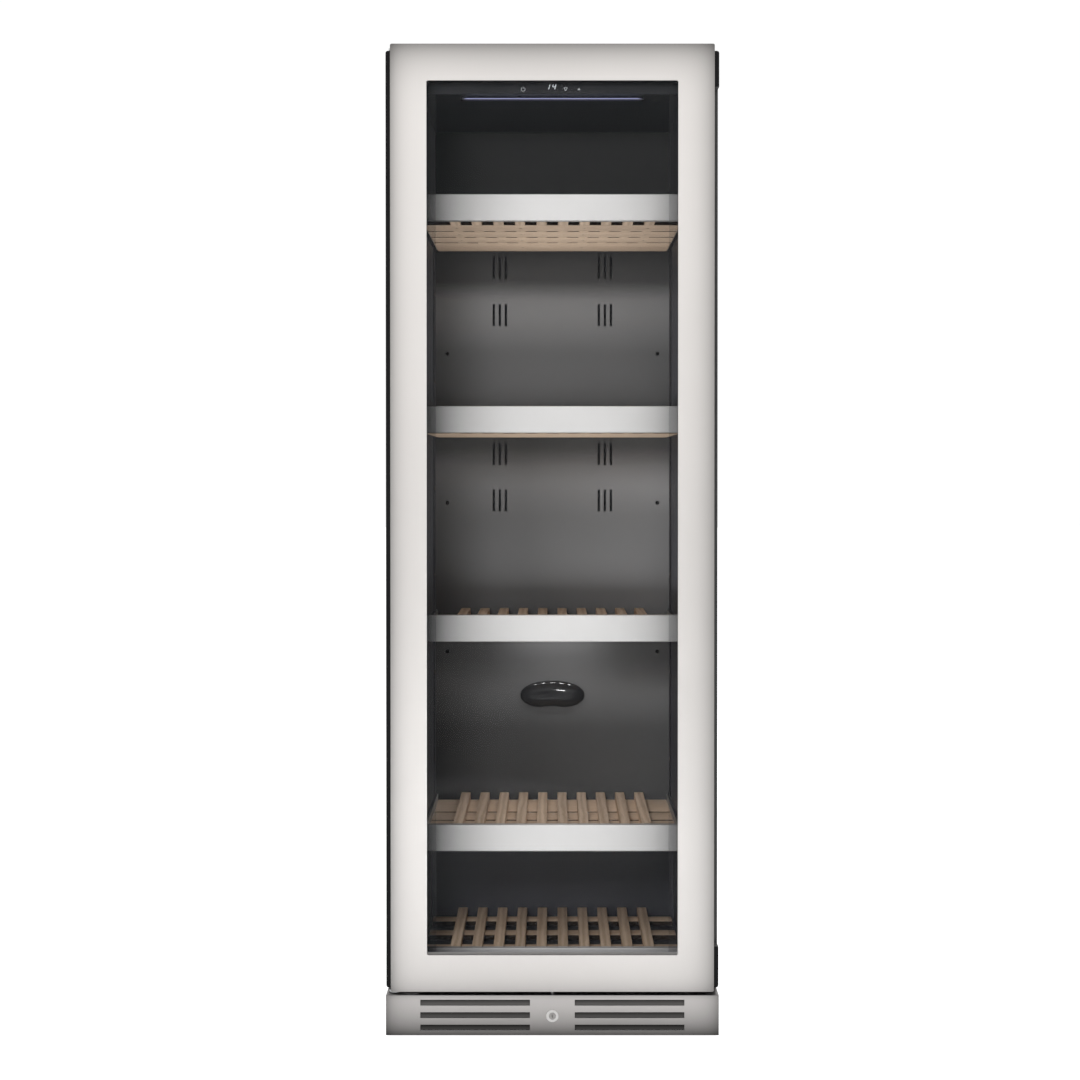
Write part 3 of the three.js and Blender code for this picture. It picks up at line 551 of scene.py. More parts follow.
MATERIALS = {
    "stainless_door": stainless_door(),
    "stainless_kickplate": stainless_kickplate(),
    "trim": trim_metal(),
    # painted light and shade: the bottom trim's copy of the trim aluminium, less metallic and darker, sets
    # how bright it looks at the foot of the window
    "low_trim": trim_metal("low_trim_aluminium", 0.25, (0.72, 0.712, 0.715)),
    "spacer": spacer_bar(),
    # painted light: a pale, non-metallic copy of the zinc, so the bolt shows bright in the shaded gap under
    # the door
    "bolt": moulded("bolt_zinc", (0.85, 0.85, 0.84), 0.4),
    "zinc": zinc(),
    "bright": bright_steel(),
    "barrel": brushed("lock_barrel_steel", (0.42, 0.41, 0.40), 0.32, (900, 900, 900), (), 0.1),
    "enamel": moulded("black_enamel", (0.008, 0.008, 0.0085), 0.42, 900, 0.08, 0.25),
    "black": moulded("black_plastic", (0.006, 0.006, 0.0065), 0.55, specular=0.12),
    "liner": moulded("liner_black", (0.036, 0.037, 0.044), 0.45, 1200, 0.1),
    "groove": moulded("groove_grey", (0.055, 0.055, 0.055), 0.5),
    "grey": moulded("grey_plastic", (0.12, 0.12, 0.125), 0.55),
    "panel": back_panel_material(),
    "beech_plank": beech("beech_plank", "X"),
    "beech_batten": beech("beech_batten", "Y"),
    # painted shade on the plank faces that look into the slits between planks
    "plank_edge_shade": moulded("plank_edge_shade", (0.022, 0.015, 0.011), 0.85, 400, 0.2, 0.05),
    "louvre": louvre(),
    "glass": glazing(),
    "edged_glass": edged_glazing(),
    "gloss": glossy("gloss_black", (0.014, 0.014, 0.015)),
    "fascia": glossy("fascia_black", (0.032, 0.033, 0.036), 0.3, 0.12),
    "rubber": moulded("rubber", (0.016, 0.016, 0.017), 0.72, 1400, 0.2, 0.3),
    "led": led_diffuser(),
    "digits": glowing("display_digits", (0.9, 0.95, 1.0), 1.4, (0.1, 0.1, 0.1)),
    "icons": glowing("display_icons", (0.7, 0.72, 0.75), 0.9, (0.05, 0.05, 0.05)),
    "bright_icon": glowing("display_bright_icon", (0.7, 0.72, 0.75), 0.75, (0.05, 0.05, 0.05)),
    "copper": copper(),
    "fins": brushed("fin_aluminium", (0.70, 0.71, 0.72), 0.35, (700, 700, 9)),
    "foam": moulded("foam", (0.75, 0.66, 0.40), 0.9, 500, 0.4),
}

NODE_MATERIALS = {
    "door_skin": "stainless_door", "kickplate": "stainless_kickplate", "lock_housing": "bright",
    "lock_barrel": "barrel", "lock_bolt": "bolt", "outer_shell": "enamel", "rear_panel": "zinc",
    "machine_cover": "black", "base_pan": "zinc", "insulation_foam": "foam", "inner_liner": "liner",
    "front_frame": "black", "back_duct_panel": "panel", "duct_cover": "gloss", "evaporator_coil": "fins",
    "evaporator_fan_shroud": "black", "evaporator_fan": "grey", "condenser_fan_shroud": "black",
    "condenser_fan": "grey", "condenser_coil": "enamel", "compressor": "enamel", "drain_tray": "black",
    "discharge_line": "copper", "mains_inlet": "black", "control_housing": "fascia",
    "display_panel": "fascia", "light_diffuser": "led", "left_shelf_rails": "enamel",
    "right_shelf_rails": "enamel", "bottom_shelf_trim": "low_trim", "bottom_shelf_rack": "beech_plank",
    "top_hinge_bracket": "zinc", "bottom_hinge_bracket": "zinc", "door_core": "black",
    "outer_glass": "glass", "inner_glass": "edged_glass", "glass_spacer": "spacer", "door_gasket": "rubber",
    "top_hinge_bush": "grey", "bottom_hinge_bush": "grey",
}


def material_for(node):
    if node in NODE_MATERIALS:
        return NODE_MATERIALS[node]
    endings = {"_trim": "trim", "_rack": "beech_plank", "_runner": "zinc", "_foot": "rubber"}
    return next(name for ending, name in endings.items() if node.endswith(ending))


def dress_frame():
    for node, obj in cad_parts.items():
        material = MATERIALS[material_for(node)]
        if obj.data.materials:
            for slot in obj.material_slots:
                slot.material = material
        else:
            obj.data.materials.append(material)


# ---- mesh helpers
def add_piece(name, build, material, body, smooth=True, bevel=0.0, stands_for=()):
    """Make an object from build(bm), give it a material and a body, and optionally hide CAD nodes."""
    bm = bmesh.new()
    build(bm)
    bmesh.ops.recalc_face_normals(bm, faces=bm.faces)
    mesh = bpy.data.meshes.new(name)
    bm.to_mesh(mesh)
    bm.free()
    piece = bpy.data.objects.new(name, mesh)
    put_in_scene(piece)
    materials = material if isinstance(material, tuple) else (material,)
    for each in materials:
        mesh.materials.append(MATERIALS[each])
    if smooth:
        shade_smooth(piece, 35)
    if bevel:
        add_bevel(piece, bevel)
    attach(piece, body)
    if stands_for:
        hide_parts(*stands_for)


def shade_smooth(piece, angle):
    for face in piece.data.polygons:
        face.use_smooth = True
    piece.data.set_sharp_from_angle(angle=math.radians(angle))


def add_bevel(piece, size):
    modifier = piece.modifiers.new("soft_edges", "BEVEL")
    modifier.width = size
    modifier.segments = 2
    modifier.limit_method = "ANGLE"
    modifier.angle_limit = math.radians(40)


def add_box(bm, corner_low, corner_high):
    size = Vector(corner_high) - Vector(corner_low)
    centre = (Vector(corner_high) + Vector(corner_low)) / 2
    matrix = Matrix.Translation(centre) @ Matrix.Diagonal((*size, 1))
    return bmesh.ops.create_cube(bm, size=1, matrix=matrix)["verts"]


def stand_at(place, axis):
    """The matrix that takes +Z to axis and the origin to place."""
    turn = Vector(axis).to_track_quat("Z", "Y").to_matrix().to_4x4()
    return Matrix.Translation(Vector(place)) @ turn


def full_turn(count):
    return [2 * math.pi * i / count for i in range(count)]


def bridge(bm, first, second):
    """Join two closed rings with faces; either ring may be a single point."""
    count = max(len(first), len(second))
    for i in range(count):
        j = (i + 1) % count
        lower = [first[i % len(first)], first[j % len(first)]]
        upper = [second[j % len(second)], second[i % len(second)]]
        corners = list(dict.fromkeys(lower + upper))
        if len(corners) > 2:
            bm.faces.new(corners)


def bridge_all(bm, rings):
    for first, second in zip(rings, rings[1:]):
        bridge(bm, first, second)


def cap_ends(bm, rings):
    bm.faces.new(rings[0])
    bm.faces.new(reversed(rings[-1]))


def add_lathe(bm, profile, place, axis, segments):
    """Turn a closed (radius, along) profile about an axis through place."""
    matrix = stand_at(place, axis)
    rings = []
    for radius, along in profile:
        ring = []
        for angle in full_turn(segments):
            spot = Vector((radius * math.cos(angle), radius * math.sin(angle), along))
            ring.append(bm.verts.new(matrix @ spot))
        rings.append(ring)
    bridge_all(bm, rings)


def add_outline(bm, points, y_front, y_back):
    """Push a closed outline in (x, z) along y."""
    rings = [[bm.verts.new((x, y, z)) for x, z in points] for y in (y_front, y_back)]
    cap_ends(bm, rings)
    bridge_all(bm, rings)


def add_tube(bm, points, radius, segments):
    """A round tube along straight runs and bends given by points, with flat ends."""
    vectors = [Vector(point) for point in points]
    rings = []
    side = None
    for i, point in enumerate(vectors):
        ahead = vectors[min(i + 1, len(vectors) - 1)] - vectors[max(i - 1, 0)]
        ahead.normalize()
        if side is None:
            side = ahead.orthogonal().normalized()
        side = (side - ahead * side.dot(ahead)).normalized()
        other = ahead.cross(side)
        spokes = [side * math.cos(angle) + other * math.sin(angle) for angle in full_turn(segments)]
        rings.append([bm.verts.new(point + spoke * radius) for spoke in spokes])
    bridge_all(bm, rings)
    cap_ends(bm, rings)


def smooth_route(points, steps):
    """Catmull-Rom points through a route."""
    vectors = [Vector(point) for point in points]
    padded = [2 * vectors[0] - vectors[1], *vectors, 2 * vectors[-1] - vectors[-2]]
    route = []
    for a, b, c, d in zip(padded, padded[1:], padded[2:], padded[3:]):
        square = 2 * a - 5 * b + 4 * c - d
        cube = 3 * b - a - 3 * c + d
        for k in range(steps):
            t = k / steps
            route.append(0.5 * (2 * b + (c - a) * t + square * t ** 2 + cube * t ** 3))
    route.append(vectors[-1])
    return route


def add_screw(bm, place, axis, radius, rise):
    """A pan-head screw with a cross recess: the head is a low dome with a plus-shaped pit."""
    matrix = stand_at(place, axis)
    arm, reach, pit = radius * 0.14, radius * 0.52, rise * 0.45
    cross = [
        (arm, arm), (reach, arm), (reach, -arm), (arm, -arm), (arm, -reach), (-arm, -reach),
        (-arm, -arm), (-reach, -arm), (-reach, arm), (-arm, arm), (-arm, reach), (arm, reach),
    ]
    cross.sort(key=lambda point: math.atan2(point[1], point[0]))
    angles = [math.atan2(y, x) for x, y in cross]
    rings = []
    for width, height in ((1.0, 0.0), (1.0, 0.35), (0.86, 0.75), (0.66, 0.97)):
        across, along = radius * width, rise * height
        spots = [(across * math.cos(angle), across * math.sin(angle), along) for angle in angles]
        rings.append([bm.verts.new(matrix @ Vector(spot)) for spot in spots])
    for level in (rise, rise - pit):
        rings.append([bm.verts.new(matrix @ Vector((x, y, level))) for x, y in cross])
    cap_ends(bm, rings)
    bridge_all(bm, rings)


def screws(name, places, axis, body, radius, rise, material="bright"):
    def build(bm):
        for place in places:
            add_screw(bm, place, axis, radius, rise)
    add_piece(name, build, material, body)


# ---- door pieces
GROOVE_FRONT = -328.8 * MM
GROOVE_FOOT = 163.2 * MM
GROOVE_TOP = 1700.8 * MM
LINING_THICK = 1.0 * MM


def make_groove_lining():
    """The grey insert that lines the finger groove down the handle side of the door."""
    core_side = high("door_core").x
    inside, outside = core_side - 19.6 * MM, core_side - 0.3 * MM
    bend = inside + LINING_THICK
    front, back = GROOVE_FRONT, low("door_gasket").y - 9.2 * MM
    inner_back = back - LINING_THICK

    def build(bm):
        add_box(bm, (inside, front, GROOVE_FOOT), (bend, back - 6 * MM, GROOVE_TOP))
        add_box(bm, (inside + 12 * MM, inner_back, GROOVE_FOOT), (outside, back, GROOVE_TOP))
        for foot in (GROOVE_TOP - LINING_THICK, GROOVE_FOOT):
            add_box(bm, (bend, front, foot), (outside, inner_back, foot + LINING_THICK))
    add_piece("finger_groove_lining", build, "groove", "door", bevel=0.3 * MM)


def ring_sweep(bm, section, half_width, z_low, z_high, corner):
    """Sweep a closed (outwards, y) section round an upright rounded rectangle."""
    x, foot, top = half_width - corner, z_low + corner, z_high - corner
    steps = 6
    rings = []
    for turn, (centre_x, centre_z) in enumerate(((x, top), (-x, top), (-x, foot), (x, foot))):
        for i in range(steps + 1):
            angle = math.pi / 2 * (turn + i / steps)
            reach_x, reach_z = math.cos(angle), math.sin(angle)
            ring = []
            for out, y in section:
                reach = corner + out
                ring.append(bm.verts.new((centre_x + reach_x * reach, y, centre_z + reach_z * reach)))
            rings.append(ring)
    bridge_all(bm, [*rings, rings[0]])


# Half of the seal's section from the door back: width share and depth share.
SEAL_SHAPE = (
    (1.0, 0.0), (1.0, 0.10), (0.72, 0.14), (0.55, 0.26),
    (0.92, 0.38), (0.95, 0.46), (0.60, 0.58), (0.78, 0.68),
)
SEAL_HALF_WIDTH = 12 * MM
SEAL_CORNER = 13 * MM


def make_gasket():
    """Magnetic door seal: a push-in base, a folded bellows and a flat magnet pocket."""
    node = "door_gasket"
    front, back = low(node).y, high(node).y
    deep = back - front
    wide = SEAL_HALF_WIDTH
    half = [(wide * out, front + deep * along) for out, along in SEAL_SHAPE]
    half += [(wide * 0.80, back - 0.4 * MM), (wide * 0.74, back)]
    section = half + [(-out, y) for out, y in reversed(half)]

    def build(bm):
        ring_sweep(bm, section, high(node).x - wide, low(node).z + wide, high(node).z - wide, SEAL_CORNER)
    add_piece("door_seal", build, "rubber", "door", stands_for=("door_gasket",))


# ---- controls
# Bars of the digits: column, row and way of each.
BARS = {"b": (1, 1, "upright"), "c": (1, 0, "upright"), "f": (0, 1, "upright"), "g": (0, 0, "level")}
DIGITS = (("bc", -10.5 * MM), ("bcfg", 0.4 * MM))  # the bars and left edge of a 1 and a 4
DIGIT_WIDTH = 5.0 * MM
DIGIT_HEIGHT = 9.4 * MM
DIGIT_SLANT = 0.28
BAR_THICK = DIGIT_WIDTH * 0.2


def bar_outline(centre, start, end):
    """A bar with pointed ends: points across it and along it, about a centre line."""
    half = BAR_THICK / 2
    return [
        (centre, start - half), (centre + half, start), (centre + half, end),
        (centre, end + half), (centre - half, end), (centre - half, start),
    ]


def digit_outlines(bars, left, z):
    """Bars of one digit, leaning slightly to the right."""
    half = DIGIT_HEIGHT / 2
    gap = BAR_THICK * 0.6
    outlines = []
    for column, row, way in (BARS[name] for name in bars):
        if way == "upright":
            foot = z if row == 1 else z - half
            points = bar_outline(left + column * DIGIT_WIDTH, foot + gap, foot + half - gap)
        else:
            level = bar_outline(z + row * half, left + gap, left + DIGIT_WIDTH - gap)
            points = [(x, up) for up, x in level]
        outlines.append([(x + (up - z) * DIGIT_SLANT, up) for x, up in points])
    return outlines


def arc_outlines(x, z, radius, thick, start, end):
    """Short pieces of a flat ring between two angles."""
    steps = 28
    quads = []
    for i in range(steps):
        first = start + (end - start) * i / steps
        second = start + (end - start) * (i + 1) / steps
        inner, outer = radius - thick / 2, radius + thick / 2
        turns = ((inner, first), (outer, first), (outer, second), (inner, second))
        quads.append([(x + reach * math.cos(angle), z + reach * math.sin(angle)) for reach, angle in turns])
    return quads


def down_triangle(x, z, size, thick):
    """The three sides of an outlined triangle that points down, as thin bars."""
    top, half = z + size * 0.5, size * 0.58
    corners = [Vector((x, z - size * 0.5)), Vector((x - half, top)), Vector((x + half, top))]
    bars = []
    for a, b in zip(corners, corners[1:] + corners[:1]):
        along = (b - a).normalized()
        across = Vector((-along.y, along.x)) * thick / 2
        bars.append([tuple(a + across), tuple(a - across), tuple(b - across), tuple(b + across)])
    return bars


POWER_X = -52.9 * MM
DOWN_X = 24.1 * MM
UP_X = 48.2 * MM


def power_symbol(z):
    """An open ring with a stroke through its gap."""
    outlines = arc_outlines(POWER_X, z, 3.5 * MM, 0.7 * MM, math.radians(125), math.radians(415))
    left, right = POWER_X - 0.35 * MM, POWER_X + 0.35 * MM
    foot, top = z + 1.2 * MM, z + 4.4 * MM
    outlines.append([(left, foot), (right, foot), (right, top), (left, top)])
    return outlines


def make_display():
    """A two-digit number and three plain icons, just proud of the display panel."""
    front = low("display_panel").y
    digit_z = high("display_panel").z - 8.4 * MM
    icon_z = digit_z - 4.4 * MM

    def flat(name, outlines, material):
        def build(bm):
            for outline in outlines:
                add_outline(bm, outline, front - 0.15 * MM, front + 0.05 * MM)
        add_piece(name, build, material, "cabinet", smooth=False)

    digits = []
    for bars, left in DIGITS:
        digits += digit_outlines(bars, left, digit_z)
    flat("display_digits", digits, "digits")
    flat("power_icon", power_symbol(icon_z), "icons")
    flat("down_icon", down_triangle(DOWN_X, icon_z, 5.4 * MM, 0.8 * MM), "icons")
    foot = icon_z - 1.4 * MM
    up = [(UP_X - 3 * MM, foot), (UP_X + 3 * MM, foot), (UP_X, icon_z + 2.2 * MM)]
    flat("up_icon", [up], "bright_icon")


def make_light_channel():
    """A thin black channel that the light diffuser sits in."""
    node = "light_diffuser"
    a, b = low(node), high(node)
    wall, play, end_wall, gap = 1.2 * MM, 0.2 * MM, 3 * MM, 0.3 * MM

    def build(bm):
        for y0, y1 in ((a.y - wall, a.y - play), (b.y + play, b.y + wall)):
            add_box(bm, (a.x - end_wall, y0, b.z - 2.2 * MM), (b.x + end_wall, y1, b.z))
        for x0, x1 in ((a.x - end_wall, a.x - gap), (b.x + gap, b.x + end_wall)):
            add_box(bm, (x0, a.y - play, a.z), (x1, b.y + play, b.z))
    add_piece("light_channel", build, "black", "cabinet", bevel=0.2 * MM)


# ---- inside
PANEL_SCREW_ROWS = (1.573, 1.261, 0.949, 0.637)
PANEL_SCREW_X = 220 * MM


def make_panel_screws():
    front = low("back_duct_panel").y
    places = [(sign * PANEL_SCREW_X, front, z) for z in PANEL_SCREW_ROWS for sign in (-1, 1)]
    screws("panel_screws", places, (0, -1, 0), "cabinet", 4.2 * MM, 1.6 * MM, "black")


CAP_HALF_LENGTH = 67 * MM
CAP_RISE = 29.5 * MM
CAP_DROP = 28 * MM
LOBE_DROP = 30 * MM
HOLLOW_DEPTH = 6.5 * MM
HOLLOW_WIDTH = 0.33  # share of the cap's half length


def bean(angle, scale):
    """A bean outline: an elliptic top and two shallow lobes below."""
    across = math.cos(angle)
    lift = math.sin(angle)
    x = CAP_HALF_LENGTH * scale * across
    if lift >= 0:
        return x, CAP_RISE * scale * lift ** 0.95
    hollow = HOLLOW_DEPTH * scale * math.exp(-((across / HOLLOW_WIDTH) ** 2))
    return x, hollow - LOBE_DROP * scale * (-lift) ** 0.85


def make_duct_cover():
    """Glossy bean-shaped cap over the air return: a domed shell with a narrow upright rim."""
    node = "duct_cover"
    a, b = low(node), high(node)
    centre = Vector((middle(node).x, 0, a.z + CAP_DROP))
    rings, around = 14, 96
    rim = 2.5 * MM

    def build(bm):
        shape = [(1.0, 0.0), (1.0, rim)]
        for ring in range(1, rings + 1):
            turn = math.pi / 2 * ring / rings
            shape.append((math.cos(turn) ** 0.75, rim + (b.y - a.y - rim) * math.sin(turn) ** 1.1))
        levels = []
        for scale, depth in shape[:-1]:
            loop = []
            for angle in full_turn(around):
                x, z = bean(angle, scale)
                loop.append(bm.verts.new((centre.x + x, b.y - depth, centre.z + z)))
            levels.append(loop)
        levels.append([bm.verts.new((centre.x, a.y, centre.z))])
        bm.faces.new(levels[0])
        bridge_all(bm, levels)
    add_piece("air_return_cap", build, "gloss", "cabinet", stands_for=("duct_cover",))


# ---- wooden racks
BATTEN_COUNT = 10
BATTEN_PITCH = 40 * MM
BATTEN_WIDTH = 19 * MM
PLANK_THICK = 12 * MM
BATTEN_RECESS = 0.4 * MM  # the battens are let into the planks of the pull-out racks
PLANKS = ((-0.184, -0.098), (-0.089, -0.0085), (0.0005, 0.079), (0.088, 0.225))  # front and back edges
BOTTOM_PLANKS = ((-0.190, -0.150), (-0.080, -0.040), (0.030, 0.070))
BOTTOM_PLANK_THICK = 9.6 * MM
BOARD_ROUNDING = 1.3 * MM


def board_tone(seed):
    """A tone from 0 to 1 that looks random but is the same in each run."""
    return 0.5 + 0.5 * math.sin(seed * 12.9898) * math.cos(seed * 4.1414)


def add_board(bm, corner_low, corner_high, index, seed):
    """One board with rounded edges and its own board_tone; a plank's front and back edge faces get painted
    shade, for the shade in the slits between planks.
    """
    earlier = set(bm.faces)
    verts = add_box(bm, corner_low, corner_high)
    edges = list({edge for vert in verts for edge in vert.link_edges})
    bmesh.ops.bevel(bm, geom=edges, offset=BOARD_ROUNDING, segments=2, affect="EDGES", profile=0.6)
    tone = board_tone(seed)
    layer = bm.loops.layers.float_color["board_tone"]
    for face in set(bm.faces) - earlier:
        face.normal_update()
        # painted shade on the plank faces that look into the slits
        plank_edge = index == 0 and abs(face.normal.y) > 0.3
        face.material_index = 2 if plank_edge else index
        for loop in face.loops:
            loop[layer] = (tone, tone, tone, 1)


def batten_x(i):
    return (i - (BATTEN_COUNT - 1) / 2) * BATTEN_PITCH


def make_rack(node, name, body, planks, plank_thick, batten_bottom):
    """Planks across the shelf with battens from front to back over them."""
    a, b = low(node), high(node)

    def build(bm):
        bm.loops.layers.float_color.new("board_tone")
        seed = a.z * 31 + 1
        for start, end in planks:
            add_board(bm, (a.x, start, a.z), (b.x, end, a.z + plank_thick), 0, seed)
            seed += 1.7
        for i in range(BATTEN_COUNT):
            left = batten_x(i) - BATTEN_WIDTH / 2
            add_board(bm, (left, a.y, a.z + batten_bottom), (left + BATTEN_WIDTH, b.y, b.z), 1, seed)
            seed += 1.3
    materials = ("beech_plank", "beech_batten", "plank_edge_shade")
    add_piece(name, build, materials, body, stands_for=(node,))


def make_racks():
    for number in range(1, 5):
        node = f"shelf_{number}_rack"
        make_rack(node, f"shelf_{number}_boards", f"shelf_{number}", PLANKS, PLANK_THICK, BATTEN_RECESS)
        rack_screws(number)
    thick = BOTTOM_PLANK_THICK
    clear = thick + 0.02 * MM
    make_rack("bottom_shelf_rack", "bottom_shelf_boards", "cabinet", BOTTOM_PLANKS, thick, clear)


def rack_screws(number):
    """Small low screws under each plank that hold the battens."""
    level = low(f"shelf_{number}_rack").z + 0.6 * MM
    places = []
    for start, end in PLANKS:
        for i in (0, 3, 6, 9):
            places.append((batten_x(i), (start + end) / 2, level))
    screws(f"shelf_{number}_screws", places, (0, 0, -1), f"shelf_{number}", 2.6 * MM, 0.8 * MM)


# ---- kickplate
SLOT_INNER_END = 34 * MM
SLOT_OUTER_END = 242 * MM
LOUVRE_SLOPE = 0.45


def make_kick_baffle():
    """Folded dark sheet that stands close behind each row of air slots."""
    front = low("kickplate").y + 3.5 * MM

    def build(bm):
        for row in range(SLOT_ROWS):
            centre = LOWEST_SLOT + row * SLOT_PITCH
            foot, top = centre - SLOT_HEIGHT * 0.55, centre + SLOT_HEIGHT * 0.9
            for sign in (-1, 1):
                x0, x1 = sorted((sign * SLOT_INNER_END, sign * SLOT_OUTER_END))
                for vert in add_box(bm, (x0, front, foot), (x1, front + 1 * MM, top)):
                    vert.co.y += (vert.co.z - foot) * LOUVRE_SLOPE
    add_piece("kickplate_louvres", build, "louvre", "cabinet", smooth=False)


# ---- fasteners outside
def make_outer_screws():
    """Three screws that hold the top hinge bracket."""
    top = high("top_hinge_bracket").z
    x, y = -262 * MM, cad_low.y + 90 * MM
    places = [(x, y, top), (x, y + 32 * MM, top), (x + 12 * MM, y + 16 * MM, top)]
    screws("top_hinge_screws", places, (0, 0, 1), "cabinet", 4.8 * MM, 2 * MM)


RIM = 30 * MM  # flat border round each pressed field of the rear panel
RAMP = 6 * MM
PRESSING = 0.8 * MM


def add_pressed_sheet(bm, across, up, y_back, fronts):
    """A closed sheet on a grid of lines; fronts(i, k) is the depth of the outer face at a crossing."""
    outer = [[bm.verts.new((x, fronts(i, k), z)) for k, z in enumerate(up)] for i, x in enumerate(across)]
    inner = [[bm.verts.new((x, y_back, z)) for z in up] for x in across]
    last_i, last_k = len(across) - 1, len(up) - 1
    for i in range(last_i):
        for k in range(last_k):
            for side in (outer, inner):
                bm.faces.new((side[i][k], side[i + 1][k], side[i + 1][k + 1], side[i][k + 1]))
    for i in range(last_i):
        for k in (0, last_k):
            bm.faces.new((outer[i][k], outer[i + 1][k], inner[i + 1][k], inner[i][k]))
    for k in range(last_k):
        for i in (0, last_i):
            bm.faces.new((outer[i][k], outer[i][k + 1], inner[i][k + 1], inner[i][k]))


def make_rear_panel():
    """Zinc sheet with two shallow pressed fields, screwed on round its border."""
    node = "rear_panel"
    a, b = low(node), high(node)
    centre = (a.z + b.z) / 2
    across = [a.x, a.x + RIM, a.x + RIM + RAMP, b.x - RIM - RAMP, b.x - RIM, b.x]
    up = [a.z, a.z + RIM, a.z + RIM + RAMP, centre - RIM / 2 - RAMP, centre - RIM / 2]
    up += [2 * centre - z for z in reversed(up)]

    def fronts(i, k):
        return b.y if i in (2, 3) and k in (2, 3, 6, 7) else b.y - PRESSING

    def build(bm):
        add_pressed_sheet(bm, across, up, a.y, fronts)
    add_piece("rear_sheet", build, "zinc", "cabinet", smooth=False, stands_for=(node,))
    edge = b.x - RIM / 2
    levels = [a.z + RIM / 2, 0.75, centre, 1.25, b.z - RIM / 2]
    places = [(sign * edge, b.y - PRESSING, z) for sign in (-1, 1) for z in levels]
    places += [(0, b.y - PRESSING, z) for z in (levels[0], centre, levels[-1])]
    screws("rear_panel_screws", places, (0, 1, 0), "cabinet", 4 * MM, PRESSING)


# ---- small hardware
UPRIGHTS = (-214 * MM, 191 * MM)  # middles of the shelf uprights along y
UPRIGHT_SCREW_LEVELS = (0.42, 0.60, 0.80, 0.98, 1.20, 1.38, 1.515)
HINGE = (-282 * MM, -318 * MM)
WASHER_BORE = 4.3 * MM
WASHER_RADIUS = 8 * MM
WASHER_THICK = 4.8 * MM
WASHER_EDGE = 0.4 * MM
PLAY = 0.1 * MM


def make_rail_screws():
    """Screws that hold the shelf uprights to the liner, between the rails."""
    face = abs(low("left_shelf_rails").x) - 1.5 * MM
    for side, sign in (("left", -1), ("right", 1)):
        places = [(sign * face, y, z) for y in UPRIGHTS for z in UPRIGHT_SCREW_LEVELS]
        screws(f"{side}_upright_screws", places, (-sign, 0, 0), "cabinet", 4.2 * MM, 2 * MM)


def add_washer(bm, foot, top):
    tall = top - foot
    rim = WASHER_RADIUS - WASHER_EDGE
    profile = [
        (WASHER_BORE, 0), (rim, 0), (WASHER_RADIUS, WASHER_EDGE), (WASHER_RADIUS, tall - WASHER_EDGE),
        (rim, tall), (WASHER_BORE, tall), (WASHER_BORE, 0),
    ]
    add_lathe(bm, profile, (*HINGE, foot), (0, 0, 1), 28)


def make_hinge_washers():
    """Nylon washers on the hinge pins, between the door and each bracket."""
    below = low("door_core").z - PLAY

    def build(bm):
        add_washer(bm, high("door_core").z + PLAY, low("top_hinge_bracket").z - PLAY)
        add_washer(bm, below - WASHER_THICK, below)
    add_piece("hinge_washers", build, "grey", "cabinet")


FOOT_PAD_HEIGHT = 8 * MM
STEM_RADIUS = 5.1 * MM
NUT_RADIUS = 9 * MM
NUT_HEIGHT = 4 * MM
THREAD_PITCH = 1.25 * MM
THREAD_TURNS = 4


def add_foot_nut(bm, x, y, z):
    profile = [(NUT_RADIUS, 0), (NUT_RADIUS, NUT_HEIGHT), (STEM_RADIUS, NUT_HEIGHT), (STEM_RADIUS, 0)]
    add_lathe(bm, [*profile, profile[0]], (x, y, z), (0, 0, 1), 6)


def add_foot_thread(bm, x, y, z):
    core = STEM_RADIUS - 0.08 * MM
    profile = [(core, 0)]
    for turn in range(THREAD_TURNS):
        crest = (turn + 0.5) * THREAD_PITCH
        profile += [(STEM_RADIUS, turn * THREAD_PITCH), (STEM_RADIUS + 0.4 * MM, crest)]
    profile += [(core, THREAD_TURNS * THREAD_PITCH), (core, 0)]
    add_lathe(bm, profile, (x, y, z), (0, 0, 1), 20)


def make_foot_hardware():
    """Thread and flat hexagonal adjusting nut on the stem of each levelling foot."""
    for corner in ("left_front", "right_front", "left_rear", "right_rear"):
        node = f"{corner}_foot"
        x, y = middle(node).x, middle(node).y
        pad_top = low(node).z + FOOT_PAD_HEIGHT

        def build(bm, x=x, y=y, pad_top=pad_top):
            add_foot_nut(bm, x, y, pad_top)
            add_foot_thread(bm, x, y, pad_top + NUT_HEIGHT + 0.2 * MM)
        add_piece(f"{corner}_foot_nut", build, "zinc", node, bevel=0.4 * MM)


INLET_BLADES = (0.210, 0.220, 0.230)


def make_inlet_pins():
    """Plated pins over the blades in the appliance inlet."""
    half_wide, half_tall = 1.35 * MM, 3.15 * MM
    centre_z = middle("mains_inlet").z - 2 * MM
    foot, tip = high("mains_inlet").y - 21.8 * MM, high("mains_inlet").y - 5.8 * MM

    def build(bm):
        for x in INLET_BLADES:
            corner = (x - half_wide, foot, centre_z - half_tall)
            add_box(bm, corner, (x + half_wide, tip, centre_z + half_tall))
    add_piece("inlet_pins", build, "bright", "cabinet", bevel=0.5 * MM)


BEND_COUNT = 7  # down each end of the finned coil, front and back
BEND_PITCH = 12.5 * MM
BEND_REACH = 6 * MM
PIPE_RADIUS = 2.6 * MM


def add_return_bend(bm, face, out, y, z):
    """A hairpin of pipe that leaves a coil's end face and comes back one pitch higher."""
    steps = 8
    points = [(face - out * MM, y, z)]
    for step in range(steps + 1):
        turn = math.pi * step / steps
        rise = BEND_PITCH / 2 * (1 - math.cos(turn))
        points.append((face + out * BEND_REACH * math.sin(turn), y, z + rise))
    points.append((face - out * MM, y, z + BEND_PITCH))
    add_tube(bm, points, PIPE_RADIUS, 10)


def make_coil_bends():
    near, far = low("condenser_coil"), high("condenser_coil")

    def build(bm):
        for face, out in ((near.x, -1), (far.x, 1)):
            for y in (near.y + 5 * MM, far.y - 5 * MM):
                for k in range(BEND_COUNT):
                    add_return_bend(bm, face, out, y, near.z + 16 * MM + 2 * k * BEND_PITCH)
    add_piece("coil_bends", build, "copper", "cabinet")


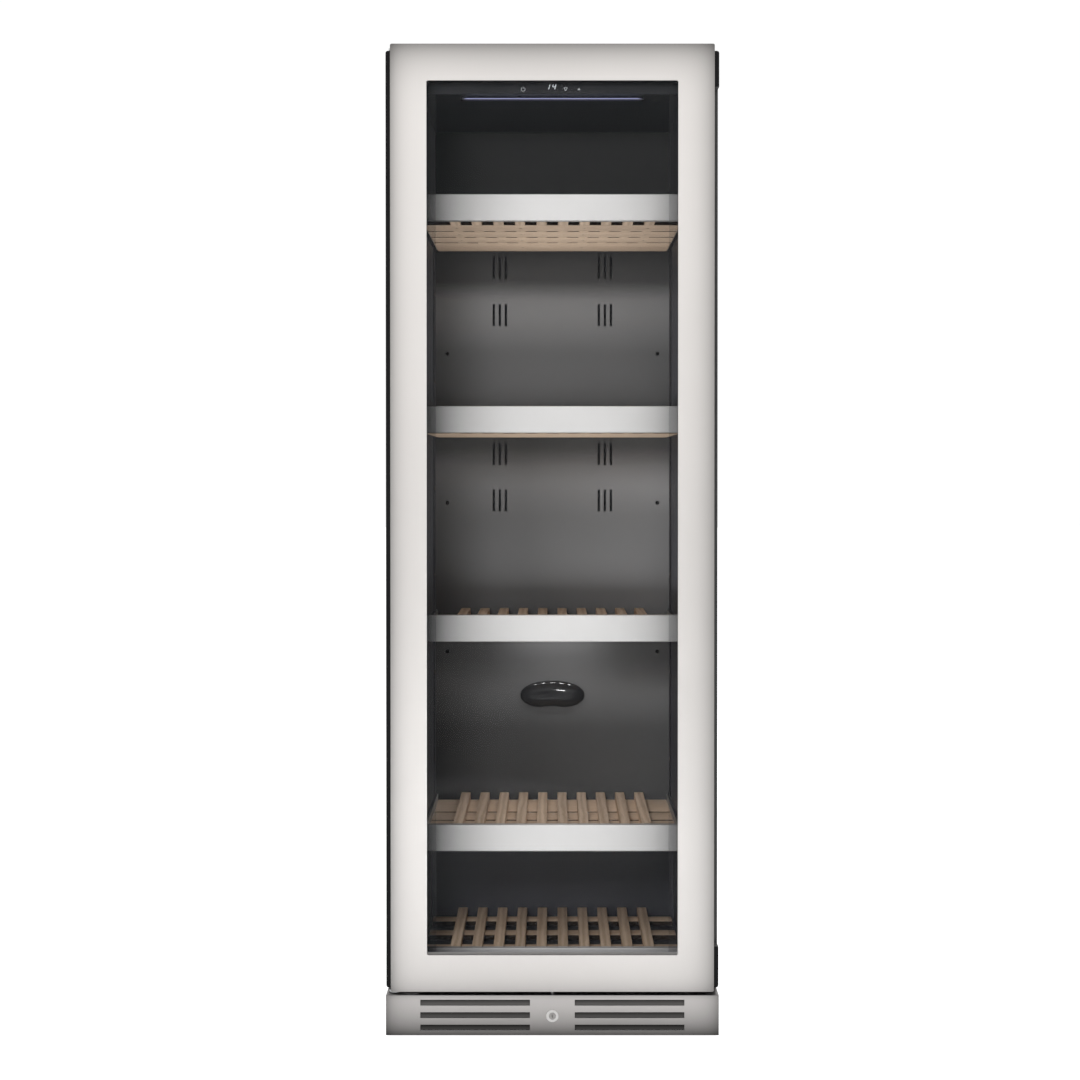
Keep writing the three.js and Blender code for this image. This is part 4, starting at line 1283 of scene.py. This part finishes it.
TERMINAL_SHAPE = ((-20, -18), (20, -18), (20, 12), (13, 20), (-13, 20), (-20, 12))  # millimetres


def make_terminal_cover():
    """Cover over the compressor's terminals, with its upper corners cut off."""
    can = middle("compressor")
    outline = [(can.x + x * MM, can.z + z * MM) for x, z in TERMINAL_SHAPE]
    front, back = can.y - 72 * MM, can.y - 58 * MM

    def build(bm):
        add_outline(bm, outline, front, back)
    name = "compressor_terminal_cover"
    add_piece(name, build, "black", "cabinet", smooth=False, bevel=1.5 * MM)


STUB_START = Vector((-0.060, -0.012, -0.030))  # from the middle of the compressor
STUB_ROUTE = ((0, 0, 0), (-0.014, -0.003, 0), (-0.022, -0.006, 0.010), (-0.023, -0.007, 0.040))


def make_service_stub():
    """Short closed pipe on the compressor's side, bent upwards."""
    start = middle("compressor") + STUB_START
    route = [start + Vector(step) for step in STUB_ROUTE]

    def build(bm):
        add_tube(bm, smooth_route(route, 6), 3.2 * MM, 12)
    add_piece("compressor_service_stub", build, "copper", "cabinet")


def soften_edges():
    sizes = {
        "door_skin": 0.9, "kickplate": 0.5, "door_core": 0.8, "outer_shell": 0.4, "lock_housing": 0.8,
        "lock_barrel": 0.3, "top_hinge_bracket": 0.5, "bottom_hinge_bracket": 0.5, "control_housing": 0.4,
        "compressor": 0.8, "drain_tray": 0.6, "mains_inlet": 0.4, "front_frame": 0.6, "light_diffuser": 0.8,
        "bottom_shelf_trim": 0.5,
    }
    sizes.update({f"shelf_{number}_trim": 0.5 for number in range(1, 5)})
    for node, size in sizes.items():
        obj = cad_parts[node]
        shade_smooth(obj, 32)
        add_bevel(obj, size * MM)


make_camera()
make_world()
make_stage()
make_lamps()
dress_frame()
soften_edges()
make_groove_lining()
make_gasket()
make_display()
make_light_channel()
make_panel_screws()
make_duct_cover()
make_racks()
make_kick_baffle()
make_outer_screws()
make_rear_panel()
make_rail_screws()
make_hinge_washers()
make_foot_hardware()
make_inlet_pins()
make_coil_bends()
make_terminal_cover()
make_service_stub()
